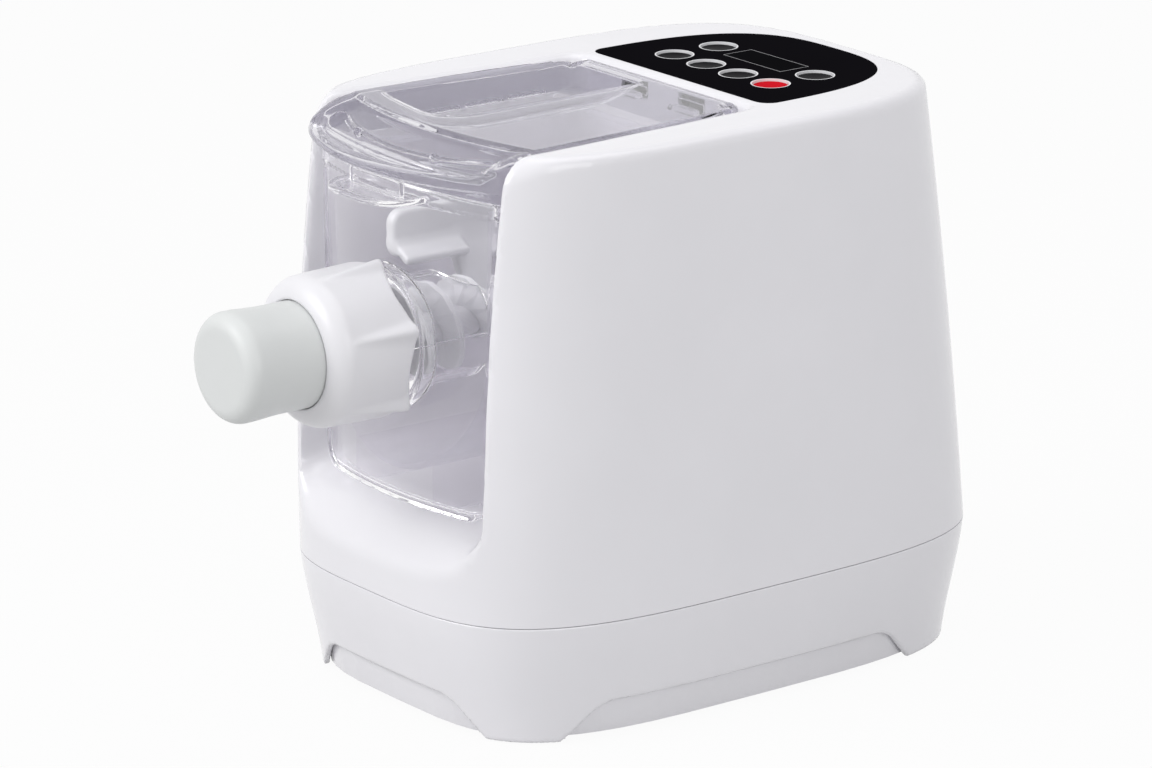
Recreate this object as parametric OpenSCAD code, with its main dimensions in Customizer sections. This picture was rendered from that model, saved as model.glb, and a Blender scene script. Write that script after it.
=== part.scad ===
// Electric pasta maker: a moulded body with a clear mixing bowl in an open bay,
// a clear lid with a pouring trough, a screw-on outlet nozzle and a touch of buttons on top.
// Millimetres. +Z is up, -Y is the front, where the pasta comes out.
// The origin is on the table, under the middle of the body's seam.

/* [Body] */
// Height of the flat top above the table
body_h = 290; // [284:1:300]
// Height of the seam between the base skirt and the housing
seam_z = 62; // [58:1:68]
// Half width of the body at the seam
seam_half_w = 112.7; // [110:0.1:118]
// Half depth of the body at the seam
seam_half_d = 162.7; // [160:0.1:168]
// Half width of the housing at the top
top_half_w = 103; // [101:0.1:108]
// Front of the housing at the top, ahead of the origin
top_front = 153.5; // [152:0.1:157]
// Rear of the housing at the top, behind the origin
top_rear = 136.5; // [135:0.1:142]
// Half width of the skirt at the table
foot_half_w = 104.9; // [103:0.1:108]
// Half depth of the skirt at the table
foot_half_d = 150.2; // [149:0.1:156]
// How square the plan is: 2 is an ellipse, and more is squarer
squareness = 3.6; // [3.2:0.05:4]
// Wall of the mouldings
wall = 3; // [2.4:0.1:3.2]
// Rounding of the housing's top edge at the sides and rear
top_round = 4.5; // [3:0.5:5]
// Rounding of the housing's top edge at the front
front_round = 16; // [10:1:20]
// How far the front bellies out between seam and top
front_belly = 4.6; // [3:0.1:6]

/* [Feet] */
// Height of the arches between the feet
arch_h = 20; // [16:0.5:24]
// Half width of the front and rear arches at the table
arch_half_w = 68; // [60:1:74]
// Front end of the side arches at the table, ahead of the origin
arch_front = 117; // [108:1:122]
// Rear end of the side arches at the table, behind the origin
arch_rear = 96; // [88:1:104]
// Slant of each arch's ends
arch_slant = 22; // [16:1:26]
// Height that the rubber pads lift the skirt
pad_lift = 1; // [0.8:0.1:1.6]
// Radius of a rubber pad
pad_r = 11; // [9:0.5:12]
// Sideways place of the pads, in from the skirt's foot
pad_x = 38.9; // [36.9:1:42.9]
// Lengthwise place of the pads, in from the skirt's foot
pad_y = 32.2; // [30.2:1:38.2]
// Radius of the cord's inlet bush
gland_bore_r = 3.6; // [3:0.1:4.2]
// Height of the cord's inlet
gland_z = 38; // [37:1:42]

/* [Bay] */
// Height of the feed axis: auger, die, shaft and bowl are centred on it
feed_z = 189; // [188:0.5:191]
// Half width of the bay at its mouth
bay_half_w = 75; // [74:0.5:76.5]
// Half width of the bay at its back
bay_back_half_w = 68.5; // [68:0.1:70]
// Back wall of the bay, behind the origin
bay_back = 18; // [18:0.5:20]
// Floor of the bay
bay_floor = 106; // [103:0.5:106.5]
// Rounding of the bay's lower corners
bay_round = 15; // [12:0.5:18]
// Start of the sloping ledge, ahead of the origin
ledge_start = 143; // [141:0.5:144]
// Drop of the ledge for each millimetre forward
ledge_slope = 1.19; // [1:0.01:1.3]

/* [Bowl] */
// Inner radius of the mixing trough
bowl_r = 63.5; // [62:0.1:63.8]
// Wall of the clear bowl
bowl_wall = 2.5; // [2:0.1:2.6]
// Rim of the bowl, below the housing's top
bowl_top = 28; // [27:0.5:31]
// Half distance between the bowl's rails
rail_x = 30; // [24:1:34]

/* [Front plate] */
// Foremost point of the curved plate, ahead of the origin
plate_front = 150; // [149.5:0.1:151]
// Radius of the plate's curve in plan
plate_curve = 246; // [236:1:260]
// Thickness of the clear plate
plate_t = 4; // [3.4:0.1:4.4]
// Half width of the plate near its top
plate_half_w = 69.6; // [68.5:0.1:70.5]
// Half width of the plate near its bottom
plate_low_half_w = 64.2; // [63:0.1:66]
// Lower edge of the plate
plate_low = 107.5; // [107:0.1:109]
// Upper edge of the plate, below the housing's top
plate_top = 24; // [23.8:0.1:24.5]
// Backward lean of the plate, degrees
plate_lean = 0.75; // [0:0.05:0.9]
// Half width of the finger shelf
shelf_half_w = 30; // [26:0.5:34]
// Front of the finger shelf, ahead of the origin
shelf_front = 172.5; // [169:0.5:175]
// Outer radius of the clear barrel round the auger
barrel_r = 27.5; // [27:0.1:29]
// Bore of the barrel and of the outlet boss
barrel_bore_r = 24; // [23.5:0.1:24.5]
// Rear end of the barrel, ahead of the origin
barrel_rear = 107; // [105:0.5:112]
// Outer radius of the outlet boss that the nut screws on
boss_r = 33; // [32:0.1:34]
// Front face of the outlet boss, ahead of the origin
boss_front = 185; // [184:0.5:186]

/* [Nozzle] */
// Rear edge of the nut, ahead of the origin
nut_rear = 160; // [158:0.5:161]
// Front face of the nut, ahead of the origin
nut_front = 205; // [204:0.5:207]
// Radius over the nut's ridges
nut_ridge_r = 42.4; // [41.5:0.1:44]
// Radius of the nut between its ridges
nut_body_r = 38; // [37.5:0.1:39]
// Number of ridges
nut_ridges = 6; // [5:1:8]
// Angle of the first ridge above the horizontal, degrees
nut_phase = 18.5; // [0:0.5:60]
// Radius of the hole in the nut's face
nut_hole_r = 27.5; // [27:0.1:28.5]
// Thickness of the nut's front wall
nut_face_t = 12; // [11.5:0.1:12.5]
// Thread pitch: how far the nut comes forward in one turn
thread_pitch = 6; // [4:0.5:6]
// Outer radius of the outlet cap
cap_r = 25; // [24.6:0.1:25.5]
// Front face of the cap, ahead of the origin
cap_front = 246; // [240:1:250]
// Thickness of the shaping disc
die_t = 7.4; // [6.8:0.1:7.6]
// Radius of the holes in the shaping disc
die_hole_r = 2; // [1.2:0.1:2.4]

/* [Mixer] */
// Reach of the paddle's blades from the axis
blade_r = 59; // [54:0.5:60]
// Thickness of the blades
blade_t = 7; // [5:0.5:8]
// Angle of the front blade at rest, degrees from +X
blade_angle = 120; // [100:1:140]
// Outer radius of the auger's flight
auger_r = 22.5; // [21.5:0.1:22.9]
// Pitch of the auger's flight
auger_pitch = 22; // [18:0.5:28]
// Radius of the auger's core
auger_core_r = 7.5; // [6.5:0.1:9]

/* [Drive] */
// Radius of the output shaft
shaft_r = 6; // [5.5:0.1:6.3]
// Teeth of the output gear
drive_teeth = 38; // [36:1:39]
// Teeth of the small gear that drives it
low_pinion_teeth = 12; // [12:1:13]
// Module of that pair
low_module = 2.5; // [2.4:0.05:2.55]
// Teeth of the large gear on the cluster
cluster_teeth = 40; // [38:1:42]
// Teeth of the motor's pinion
motor_pinion_teeth = 10; // [10:1:12]
// Module of the fast pair
high_module = 1.75; // [1.7:0.05:1.8]
// Pressure angle of all the teeth
pressure = 25; // [24:0.5:25]
// Play between meshing teeth
backlash = 0.3; // [0.25:0.05:0.4]
// Radius of the motor's stator
stator_r = 31; // [29:0.5:32]
// Air gap between rotor and stator
air_gap = 0.5; // [0.4:0.05:0.8]

/* [Lid] */
// Hinge line, below the housing's top
lid_pivot_z = 4.6; // [4:0.1:5]
// Hinge line, behind the origin
lid_pivot_y = 13; // [12.6:0.1:13.2]
// Thickness of the lid
lid_t = 3; // [2.4:0.1:3.2]
// Lower edge of the lid's skirt, below the housing's top
lid_low = 23.3; // [22:0.1:23.4]
// Foremost point of the lid's lip, ahead of the origin
lip_front = 165.5; // [162:0.5:168]
// Underside of the lip, below the housing's top
lip_low = 18; // [16.5:0.1:18.5]
// Half width of the lip where it meets the wings
lip_half_w = 79; // [77:0.5:80]
// Depth of the pouring trough
trough_depth = 8.5; // [6.5:0.5:9]
// Near edge of the pouring trough, sideways from the middle
trough_near = -3; // [-8:0.5:2]
// Width of the pouring slots
slot_w = 3; // [2.5:0.1:4]
// Length of one pouring slot
slot_l = 22; // [16:1:23]
// Number of pouring slots
slot_count = 3; // [2:1:3]

/* [Controls] */
// Front edge of the control panel, behind the origin
panel_front = 25; // [24.5:0.5:27]
// Rear edge of the control panel, behind the origin
panel_rear = 126; // [122:0.5:127]
// Half width of the control panel
panel_half_w = 70; // [68:0.5:72]
// Thickness of the control panel
panel_t = 2; // [1.6:0.1:2.2]
// Radius of a button
button_r = 9; // [8.4:0.1:9.2]
// Travel of a button
button_travel = 1; // [0.6:0.1:1.2]
// Sideways pitch of the front row of buttons
button_pitch = 25.3; // [24.5:0.1:26.5]
// Front row of buttons, behind the origin
front_row_y = 54.1; // [53:0.1:56]
// Rear pair of buttons, behind the origin
rear_row_y = 82.3; // [80:0.1:84]
// Sideways place of the rear pair
rear_pair_x = 38; // [37:0.1:40]
// Width of the display window
display_w = 44.6; // [40:0.1:46]
// Depth of the display window
display_d = 17.6; // [16:0.1:18]
// Middle of the display window, behind the origin
display_y = 81.9; // [80:0.1:83]

/* [Hidden] */

// Clearances
gap = 0.3;          // between pieces that move past each other
run = 0.06;         // radial, round a shaft or thread
seat = 0.4;         // round a piece that drops into a pocket
lid_gap = 0.8;      // round the lid
bowl_gap = 1;       // round the bowl's rim

plan_points = 56;   // corners of each body section
$fa = 5;
$fs = 0.6;
far = 400;          // longer than anything that is cut

white = [0.96, 0.96, 0.97];
clear = [0.80, 0.79, 0.87, 0.45];
black = [0.05, 0.05, 0.06];
steel = [0.72, 0.73, 0.75];
board_green = [0.10, 0.35, 0.18];
copper = [0.72, 0.42, 0.22];

function mix(a, b, t) = a + (b - a) * t;
function signed_power(v, p) = sign(v) * pow(abs(v), p);

// Heights that hang from the housing's top
hinge_z = body_h - lid_pivot_z;
lid_end_z = body_h - lid_low;
lip_z = body_h - lip_low;
plate_end_z = body_h - plate_top;
rim_z = body_h - bowl_top;
lid_deep = 50;      // depth of the lid's cuts, past its lowest edge

// One squared-off oval section of the body at height z
function section(a, front, rear, n, z) =
    let (b = (front + rear) / 2, mid = (rear - front) / 2)
    [for (i = [0 : plan_points - 1]) let (t = 360 * i / plan_points)
        [a * signed_power(cos(t), 2 / n), mid + b * signed_power(sin(t), 2 / n), z]];

// How far an edge rounded by r lies inside its wall, at depth d below the top
function edge_inset(r, d) = d < r ? r - sqrt(r * r - (r - d) * (r - d)) : 0;

// Housing section at height z, moved inwards by inset, and by another inset at the front
function housing_section(z, inset = 0, front_inset = -1) =
    let (t = (z - seam_z) / (body_h - seam_z), belly = 4 * t * (1 - t))
    section(mix(seam_half_w, top_half_w, t) + belly - inset,
        mix(seam_half_d, top_front, t) + front_belly * belly
            - (front_inset < 0 ? inset : front_inset),
        mix(seam_half_d, top_rear, t) + 1.5 * belly - inset, squareness, z);

// Skirt section at height z: an S-curve from the seam down to the feet
function skirt_section(z, inset = 0) =
    let (s = skirt_share(z))
    section(mix(foot_half_w, seam_half_w, s) - inset,
        mix(foot_half_d, seam_half_d, s) - inset,
        mix(foot_half_d, seam_half_d, s) - inset, mix(squareness + 0.3, squareness, s), z);
function skirt_share(z) = let (t = z / seam_z) 0.55 * t + 0.45 * t * t * (3 - 2 * t);

// Corner point of a section, t degrees round from its side
function corner_point(a, b, n, t) = [a * pow(cos(t), 2 / n), b * pow(sin(t), 2 / n)];

// Solid through a stack of sections with the same number of points
module loft(sections) {
    n = len(sections[0]);
    last = (len(sections) - 1) * n;
    sides = [for (k = [0 : len(sections) - 2], i = [0 : n - 1])
        let (p = k * n + i, q = k * n + (i + 1) % n)
        each [[p, p + n, q + n], [p, q + n, q]]];
    bottom = [for (i = [0 : n - 1]) i];
    top = [for (i = [0 : n - 1]) last + n - 1 - i];
    polyhedron([for (s = sections) each s], concat([bottom, top], sides));
}

// Children drawn along +Y on an axis at height z, from y on
module along(y, z = feed_z, x = 0) {
    translate([x, y, z]) rotate([-90, 0, 0]) children();
}
// Children drawn along -Y on the feed axis, from y ahead of the origin on
module forward(y, z = feed_z) {
    translate([0, -y, z]) rotate([90, 0, 0]) children();
}
module tube(r_out, r_in, h) {
    difference() {
        cylinder(h = h, r = r_out);
        translate([0, 0, -1]) cylinder(h = h + 2, r = r_in);
    }
}
module both_sides() {
    children();
    mirror([1, 0, 0]) children();
}
module four_corners(x, y) {
    for (sx = [-1, 1], sy = [-1, 1]) translate([sx * x, sy * y, 0]) children();
}

// ---------------------------------------------------------------- bay and base places
pan_top = 24;
pan_half_w = mix(foot_half_w, seam_half_w, skirt_share(pan_top));
pan_half_d = mix(foot_half_d, seam_half_d, skirt_share(pan_top));
screw_x = pan_half_w - 25.73131;   // the four long screws from the base
screw_y = pan_half_d - 38.73736;
boss_rib_in = 3.67734;  // the bosses' ribs end this far inside the housing's side
boss_rib_turn = 43.41873;
column_rib_in = 3.30426;    // and the columns' ribs inside the skirt's
column_rib_turn = 43.73223;
screw_r = 2;
head_r = 3.8;
head_h = 2.5;
screw_head_z = 18;
boss_top = 80;
pan_low = pad_lift + 2;
pan_t = 2.5;
bay_mouth = 110;        // the bay's sides run straight forward from here
bay_corner = 8;
lug_x = 40;             // gearbox fixings on the bay's back wall
lug_low_z = feed_z - 40;
lug_high_z = feed_z + 40;

module bay_plan() {
    polygon([[-bay_half_w, -far / 2], [bay_half_w, -far / 2], [bay_half_w, -bay_mouth],
        [bay_back_half_w, bay_back], [-bay_back_half_w, bay_back], [-bay_half_w, -bay_mouth]]);
}
module bay_plan_rounded(grow) {
    offset(r = bay_corner + grow, $fn = 32) offset(delta = -bay_corner) bay_plan();
}
module bay_front_outline(floor_z, grow) {
    offset(r = bay_round + grow, $fn = 40)
        translate([bay_round - bay_half_w, floor_z + bay_round])
        square([2 * (bay_half_w - bay_round), far]);
}
// Space of the bay, grown by the wall where it is wanted as a block
module bay_space(grow) {
    ledge_run = 40;
    intersection() {
        linear_extrude(far) bay_plan_rounded(grow);
        translate([0, bay_back + 2 * grow, 0]) rotate([90, 0, 0])
            linear_extrude(ledge_start + bay_back + 2 * grow) bay_front_outline(bay_floor, grow);
    }
    hull() {
        for (step = [0, ledge_run]) translate([0, -ledge_start - step, 0]) rotate([90, 0, 0])
            linear_extrude(0.01)
            bay_front_outline(bay_floor - step * ledge_slope, grow);
    }
}

// ---------------------------------------------------------------- control panel places
front_row_x = [-1.5, -0.5, 0.5, 1.5] * button_pitch;
buttons = [[front_row_x[3], front_row_y], [front_row_x[0], front_row_y],
    [front_row_x[1], front_row_y], [front_row_x[2], front_row_y],
    [-rear_pair_x, rear_row_y], [rear_pair_x, rear_row_y]];
panel_low = body_h - panel_t;
bezel_t = 0.6;
bezel_r = button_r + gap + bezel_t;
flange_r = button_r + 1.8;
window_half_w = front_row_x[3] + flange_r + 5;
window_front = front_row_y - flange_r - 1;
window_rear = rear_row_y + flange_r + 3;
board_top = body_h - 14.4;
board_t = 1.6;
board_half_w = window_half_w + 9;
board_front = window_front - 8;
board_rear = window_rear + 8;
switch_h = 3.5;
plunger_h = 1.9;
stem_low = board_top + switch_h + plunger_h + button_travel + gap;

module panel_outline(grow) {
    offset(delta = grow) polygon([for (i = [0 : 24]) let (t = 180 * i / 24)
        [panel_half_w * signed_power(cos(t), 2 / 3),
         panel_front + (panel_rear - panel_front) * signed_power(sin(t), 2 / 3)]]);
}
module board_posts() {
    for (x = [-1, 1] * (board_half_w - 4), y = [board_front + 4, board_rear - 4])
        translate([x, y]) children();
}

// ---------------------------------------------------------------- lid hinge places
hook_x = 22.5;          // middle of each of the lid's two hooks
hook_w = 20;
hook_r = 8;             // middle radius of a hook about the hinge line
hook_t = 3;
lid_back_r = lid_pivot_z;

// ================================================================ root body
module housing() {
    edge_depths = [for (w = [0 : 15 : 90]) front_round * (1 - sin(w))];
    color(white) difference() {
        loft(concat([for (t = [0 : 0.25 : 0.99])
            housing_section(mix(seam_z, body_h - front_round, t))],
            [for (d = edge_depths) housing_section(body_h - d, edge_inset(top_round, d),
                edge_inset(front_round, d))]));
        difference() {
            loft([for (t = [0 : 0.25 : 1])
                housing_section(mix(seam_z - 0.5, body_h - wall, t), wall)]);
            bay_space(wall);
            housing_bosses();
        }
        bay_space(0);
        translate([0, 0, panel_low]) linear_extrude(far) panel_outline(0.2);
        translate([-window_half_w, window_front, body_h - 20])
            cube([2 * window_half_w, window_rear - window_front, 40]);
        four_corners(screw_x, screw_y) translate([0, 0, seam_z - 1])
            cylinder(h = 17, r = screw_r + run);
        for (x = [-lug_x, lug_x], z = [lug_low_z, lug_high_z]) along(bay_back + 0.8, z, x)
            cylinder(h = 20, r = screw_r + run);
        along(bay_back - 1) cylinder(h = 20, r = 11 + run);
        both_sides() hook_slot();
        board_posts() translate([0, 0, board_top - 1]) cylinder(h = 8, r = 1.3 + run);
        rear_vents();
    }
}
module housing_bosses() {
    four_corners(screw_x, screw_y) cylinder(h = boss_top, r = 6);
    rib_end = corner_point(seam_half_w - boss_rib_in, seam_half_d - boss_rib_in, squareness,
        boss_rib_turn);
    for (sx = [-1, 1], sy = [-1, 1]) hull() {
        for (p = [[screw_x, screw_y], rib_end]) translate([sx * p[0], sy * p[1], 0])
            cylinder(h = boss_top, r = 1.5, $fn = 16);
    }
    for (x = [-lug_x, lug_x], z = [lug_low_z, lug_high_z]) along(bay_back, z, x)
        cylinder(h = cover_y - bay_back, r = 5.5);
    board_posts() translate([0, 0, board_top]) cylinder(h = far, r = 3.5);
}
// Slot in the bay's back wall that a lid hook swings into
module hook_slot() {
    translate([hook_x - hook_w / 2 - gap, lid_pivot_y, hinge_z - hook_r - hook_t / 2 - gap])
        cube([hook_w + 2 * gap, 12, hook_r + hook_t / 2 - 0.9]);
}
module rear_vents() {
    for (i = [-5 : 5]) translate([i * 9, 120, 96]) rotate([-90, 0, 0]) linear_extrude(60)
        offset(r = 1.6, $fn = 16) square([0.01, 42], center = true);
}

module base_skirt() {
    color(white) difference() {
        loft([for (z = [pad_lift, 6, 14, 24, 36, 50, seam_z]) skirt_section(z)]);
        difference() {
            loft([for (z = [pad_lift - 0.5, 16, 36, seam_z + 0.5]) skirt_section(z, wall)]);
            skirt_columns();
        }
        arch(arch_half_w, arch_half_w);
        rotate([0, 0, 90]) arch(arch_front, arch_rear);
        four_corners(screw_x, screw_y) cylinder(h = far, r = screw_r + 0.2);
        along(seam_half_d - 30, gland_z) cylinder(h = 40, r = gland_r + run);
        along(gland_seat_y, gland_z) cylinder(h = 40, r = gland_r + 2.5 + gap);
    }
}
// Through-cut along Y under the body, its ends low and high from the middle
module arch(low_end, high_end) {
    top_run = arch_slant * 0.85;
    translate([0, far / 2, 0]) rotate([90, 0, 0]) linear_extrude(far)
        offset(r = 6, $fn = 24) offset(delta = -6)
        polygon([[-low_end - arch_slant, -far / 4], [-low_end, 0], [top_run - low_end, arch_h],
            [high_end - top_run, arch_h], [high_end, 0], [high_end + arch_slant, -far / 4]]);
}
module skirt_columns() {
    rib_end = corner_point(pan_half_w - column_rib_in, pan_half_d - column_rib_in,
        mix(squareness + 0.3, squareness, skirt_share(pan_top)), column_rib_turn);
    rib = rib_end - [screw_x, screw_y];
    along(gland_seat_y - 5, gland_z) cylinder(h = 40, r = gland_r + 5.5);
    for (sx = [-1, 1], sy = [-1, 1]) {
        translate([sx * screw_x, sy * screw_y, pan_top + gap]) cylinder(h = far, r = 6.5);
        translate([sx * screw_x, sy * screw_y, pan_top + gap])
            rotate([0, 0, atan2(sy * rib[1], sx * rib[0])])
            translate([0, -1.5, 0]) cube([norm(rib), 3, far]);
    }
}

module base_pan() {
    inset = wall + seat;
    color(white) difference() {
        union() {
            difference() {
                loft([for (z = [pan_low, pan_top]) skirt_section(z, inset)]);
                loft([for (z = [pan_low + pan_t, pan_top + 1]) skirt_section(z, inset + pan_t)]);
            }
            four_corners(screw_x, screw_y) translate([0, 0, pan_low + 1])
                cylinder(h = pan_top - pan_low - 1, r = 6);
            for (x = power_posts_x, y = power_posts_y) translate([x, y, pan_low + 1])
                cylinder(h = power_z - pan_low - 1, r = 3.5);
        }
        four_corners(screw_x, screw_y) {
            cylinder(h = screw_head_z, r = head_r + 0.4);
            cylinder(h = far, r = screw_r + 0.2);
        }
        four_corners(foot_half_w - pad_x, foot_half_d - pad_y)
            cylinder(h = pan_low + 1, r = pad_r + 0.1);
        for (i = [-5 : 5], y = [-60, 0]) translate([i * 9, y, 0]) linear_extrude(far)
            offset(r = 1.6, $fn = 16) square([0.01, 40], center = true);
    }
}
power_posts_x = [18.9 - foot_half_w, 50.9 - foot_half_w];
power_posts_y = [26, 88];
power_z = 17;

module foot_pads() {
    color(black) four_corners(foot_half_w - pad_x, foot_half_d - pad_y) rotate_extrude()
        polygon([[0, 0], [pad_r - 1.2, 0], [pad_r, 1.2], [pad_r, pan_low + 1], [0, pan_low + 1]]);
}
module base_screws() {
    color(steel) four_corners(screw_x, screw_y) {
        translate([0, 0, screw_head_z - head_h]) difference() {
            cylinder(h = head_h, r = head_r);
            translate([0, 0, -1]) cylinder(h = 2.4, r = 1.6, $fn = 6);
        }
        translate([0, 0, screw_head_z - 0.5]) cylinder(h = seam_z + 14 - screw_head_z, r = screw_r);
    }
}
function skirt_rear(z) = max([for (p = skirt_section(z)) p[1]]);
gland_r = 7.5;
gland_seat_y = skirt_rear(gland_z) - 3;
module cord_gland() {
    color(black) along(gland_seat_y - 8, gland_z) difference() {
        union() {
            cylinder(h = 13.5, r = gland_r);
            translate([0, 0, 8]) cylinder(h = 4, r = gland_r + 2.5);
            cylinder(h = 3, r1 = gland_r, r2 = gland_r + 1.5);
        }
        translate([0, 0, -1]) cylinder(h = 20, r = gland_bore_r);
    }
}

module control_panel() {
    color(black) difference() {
        translate([0, 0, panel_low]) linear_extrude(panel_t) panel_outline(0);
        for (b = buttons) translate([b[0], b[1], 0]) cylinder(h = far, r = bezel_r + run);
        translate([-display_w / 2, display_y - display_d / 2, 0]) cube([display_w, display_d, far]);
    }
}
module button_bezels() {
    color(white) for (b = buttons) translate([b[0], b[1], panel_low])
        tube(bezel_r, button_r + gap, panel_t);
}
module display_window() {
    color(black) translate([0.1 - display_w / 2, 0.1 + display_y - display_d / 2, panel_low])
        cube([display_w - 0.2, display_d - 0.2, panel_t]);
}
module display_module() {
    color(steel) translate([-display_w / 2 - 1.5, display_y - display_d / 2 - 1.5, board_top])
        difference() {
            cube([display_w + 3, display_d + 3, panel_low - board_top]);
            translate([3, 3, panel_low - board_top - 1.5])
                cube([display_w - 3, display_d - 3, 2]);
        }
}
module control_board() {
    color(board_green) difference() {
        translate([-board_half_w, board_front, board_top - board_t])
            cube([2 * board_half_w, board_rear - board_front, board_t]);
        board_posts() cylinder(h = far, r = 1.3 + run);
    }
}
module board_screws() {
    color(steel) board_posts() {
        translate([0, 0, board_top - board_t - 1.6]) cylinder(h = 1.6, r = 2.6);
        translate([0, 0, board_top - board_t - 0.5]) cylinder(h = 7, r = 1.3);
    }
}
module tact_switches() {
    color(black) for (b = buttons) translate([b[0], b[1], board_top]) {
        translate([-3, -3, 0]) cube([6, 6, switch_h]);
        cylinder(h = switch_h + plunger_h, r = 1.7);
    }
}
module lid_switch() {
    back = bay_back + wall;
    color(black) difference() {
        union() {
            translate([hook_x - 8, back + 3, hinge_z - 11]) cube([32, 8, 10]);
            translate([hook_x + hook_w / 2 + 2, back, hinge_z - 11]) cube([12, 5, 10]);
        }
        for (x = [5, 11]) along(back - 1, hinge_z - 8.5, hook_x + hook_w / 2 + x - 1)
            cylinder(h = 20, r = 1);
    }
}
module power_board() {
    x0 = power_posts_x[0] - 4;
    y0 = power_posts_y[0] - 6;
    color(board_green) translate([x0, y0, power_z]) {
        cube([power_posts_x[1] - power_posts_x[0] + 8, 74, 1.6]);
        translate([5, 8, 1]) cube([22, 20, 20]);
        translate([10, 42, 1]) cylinder(h = 26, r = 8);
        translate([22, 52, 1]) cube([14, 18, 14]);
        translate([28, 12, 1]) cylinder(h = 14, r = 5);
    }
}

// ---------------------------------------------------------------- motor and gearbox places
cover_y = bay_back + wall + 3;  // gearbox, front to back
cover_t = 3;
case_back = cover_y + 35;
case_t = 3;
low_mesh_y = cover_y + 7;
low_face = 12;
high_mesh_y = low_mesh_y + low_face + 2;
high_face = 9;
low_pr = drive_teeth * low_module / 2;
low_pinion_pr = low_pinion_teeth * low_module / 2;
high_pr = cluster_teeth * high_module / 2;
motor_pinion_pr = motor_pinion_teeth * high_module / 2;
cluster_z = feed_z - low_pr - low_pinion_pr;
motor_z = cluster_z - high_pr - motor_pinion_pr;
tooth_high = 0.9;
tooth_deep = 1.15;
motor_y = case_back;
bell_l = 13;
stack_y = motor_y + bell_l;
stack_l = 42;
motor_rear = stack_y + stack_l + bell_l;
rotor_r = 17;
rotor_shaft_r = 4;
axle_r = 3;

// Involute of a circle, as the angle it has turned away at pressure angle a
function involute_angle(a) = tan(a) * 180 / PI - a;

// Spur gear outline with its first tooth centred at phase
module gear_outline(teeth, module_size, phase) {
    pitch_r = teeth * module_size / 2;
    base_r = pitch_r * cos(pressure);
    tip_r = pitch_r + tooth_high * module_size;
    root_r = pitch_r - tooth_deep * module_size;
    half = 90 / teeth - backlash / 4 / pitch_r * 180 / PI + involute_angle(pressure);
    radii = [root_r, max(base_r, root_r), mix(max(base_r, root_r), tip_r, 0.5), tip_r];
    function flank(r) = r > base_r ? half - involute_angle(acos(base_r / r)) : half;
    polygon([for (i = [0 : teeth - 1], side = [-1, 1], k = [0 : 3])
        let (r = radii[side < 0 ? k : 3 - k], a = phase + 360 * i / teeth + side * flank(r))
        [r * cos(a), r * sin(a)]]);
}
module case_outline(grow) {
    hull() {
        translate([0, -feed_z]) circle(low_pr + 6 + grow, $fn = 48);
        translate([0, -cluster_z]) circle(high_pr + 5 + grow, $fn = 48);
        translate([0, -motor_z]) circle(motor_pinion_pr + 8 + grow, $fn = 48);
    }
}
module at_lugs() {
    for (x = [-lug_x, lug_x], z = [lug_low_z, lug_high_z]) along(0, z, x) children();
}
module gearbox_cover() {
    color(white) difference() {
        union() {
            along(cover_y, 0) linear_extrude(cover_t) case_outline(case_t);
            at_lugs() translate([0, 0, cover_y]) cylinder(h = cover_t, r = 7);
            along(cover_y, feed_z) cylinder(h = 6, r = 13);
            along(cover_y, cluster_z) cylinder(h = 6, r = 7);
        }
        at_lugs() cylinder(h = far, r = screw_r + 0.2);
        along(0, feed_z) cylinder(h = far, r = 9 + run);
        along(cover_y + 1, cluster_z) cylinder(h = far, r = axle_r + run);
    }
}
module gearbox_case() {
    depth = case_back - cover_y - cover_t;
    color(white) difference() {
        union() {
            difference() {
                along(cover_y + cover_t, 0) linear_extrude(depth) case_outline(case_t);
                along(cover_y, 0) linear_extrude(depth + cover_t - case_t) case_outline(0);
            }
            at_lugs() translate([0, 0, cover_y + cover_t]) cylinder(h = depth, r = 7);
            along(high_mesh_y + high_face + 0.5, cluster_z)
                cylinder(h = case_back - high_mesh_y - high_face - 1, r = 7);
            along(case_back - 7, feed_z) cylinder(h = 7, r = 13);
        }
        at_lugs() cylinder(h = far, r = screw_r + 0.2);
        along(cover_y, feed_z) cylinder(h = far, r = 9 + run);
        along(cover_y, cluster_z) cylinder(h = case_back - cover_y - 1, r = axle_r + run);
        along(cover_y, motor_z) cylinder(h = far, r = rotor_shaft_r + 3);
        along(cover_y - 1, feed_z) cylinder(h = case_back - 8 - cover_y, r = low_pr + 5);
    }
}
module gearbox_screws() {
    color(steel) at_lugs() {
        translate([0, 0, case_back]) cylinder(h = head_h, r = head_r);
        translate([0, 0, bay_back + 1.2]) cylinder(h = case_back - bay_back - 0.7, r = screw_r);
    }
}
module shaft_bushes() {
    color(copper) for (y = [cover_y, case_back - 6]) along(y) tube(9, shaft_r + run, 6);
}
module shaft_seal() {
    color(black) along(bay_back + 0.2) tube(11, shaft_r + run, cover_y - bay_back - 0.2);
}
module cluster_axle() {
    color(steel) along(cover_y + 1.2, cluster_z) cylinder(h = case_back - cover_y - 2.4, r = axle_r);
}
module motor_cradle() {
    saddle = 9;
    color(steel) difference() {
        translate([-36, stack_y + 1, pan_low + pan_t]) {
            cube([72, stack_l - 2, 3]);
            for (y = [0, stack_l - 2 - saddle]) translate([0, y, 0])
                cube([72, saddle, motor_z - pan_low - pan_t - 12]);
        }
        along(0, motor_z) cylinder(h = far, r = stator_r + 0.05);
    }
}
module motor_stator() {
    color(steel) along(stack_y, motor_z) tube(stator_r, rotor_r + air_gap, stack_l);
}
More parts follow.
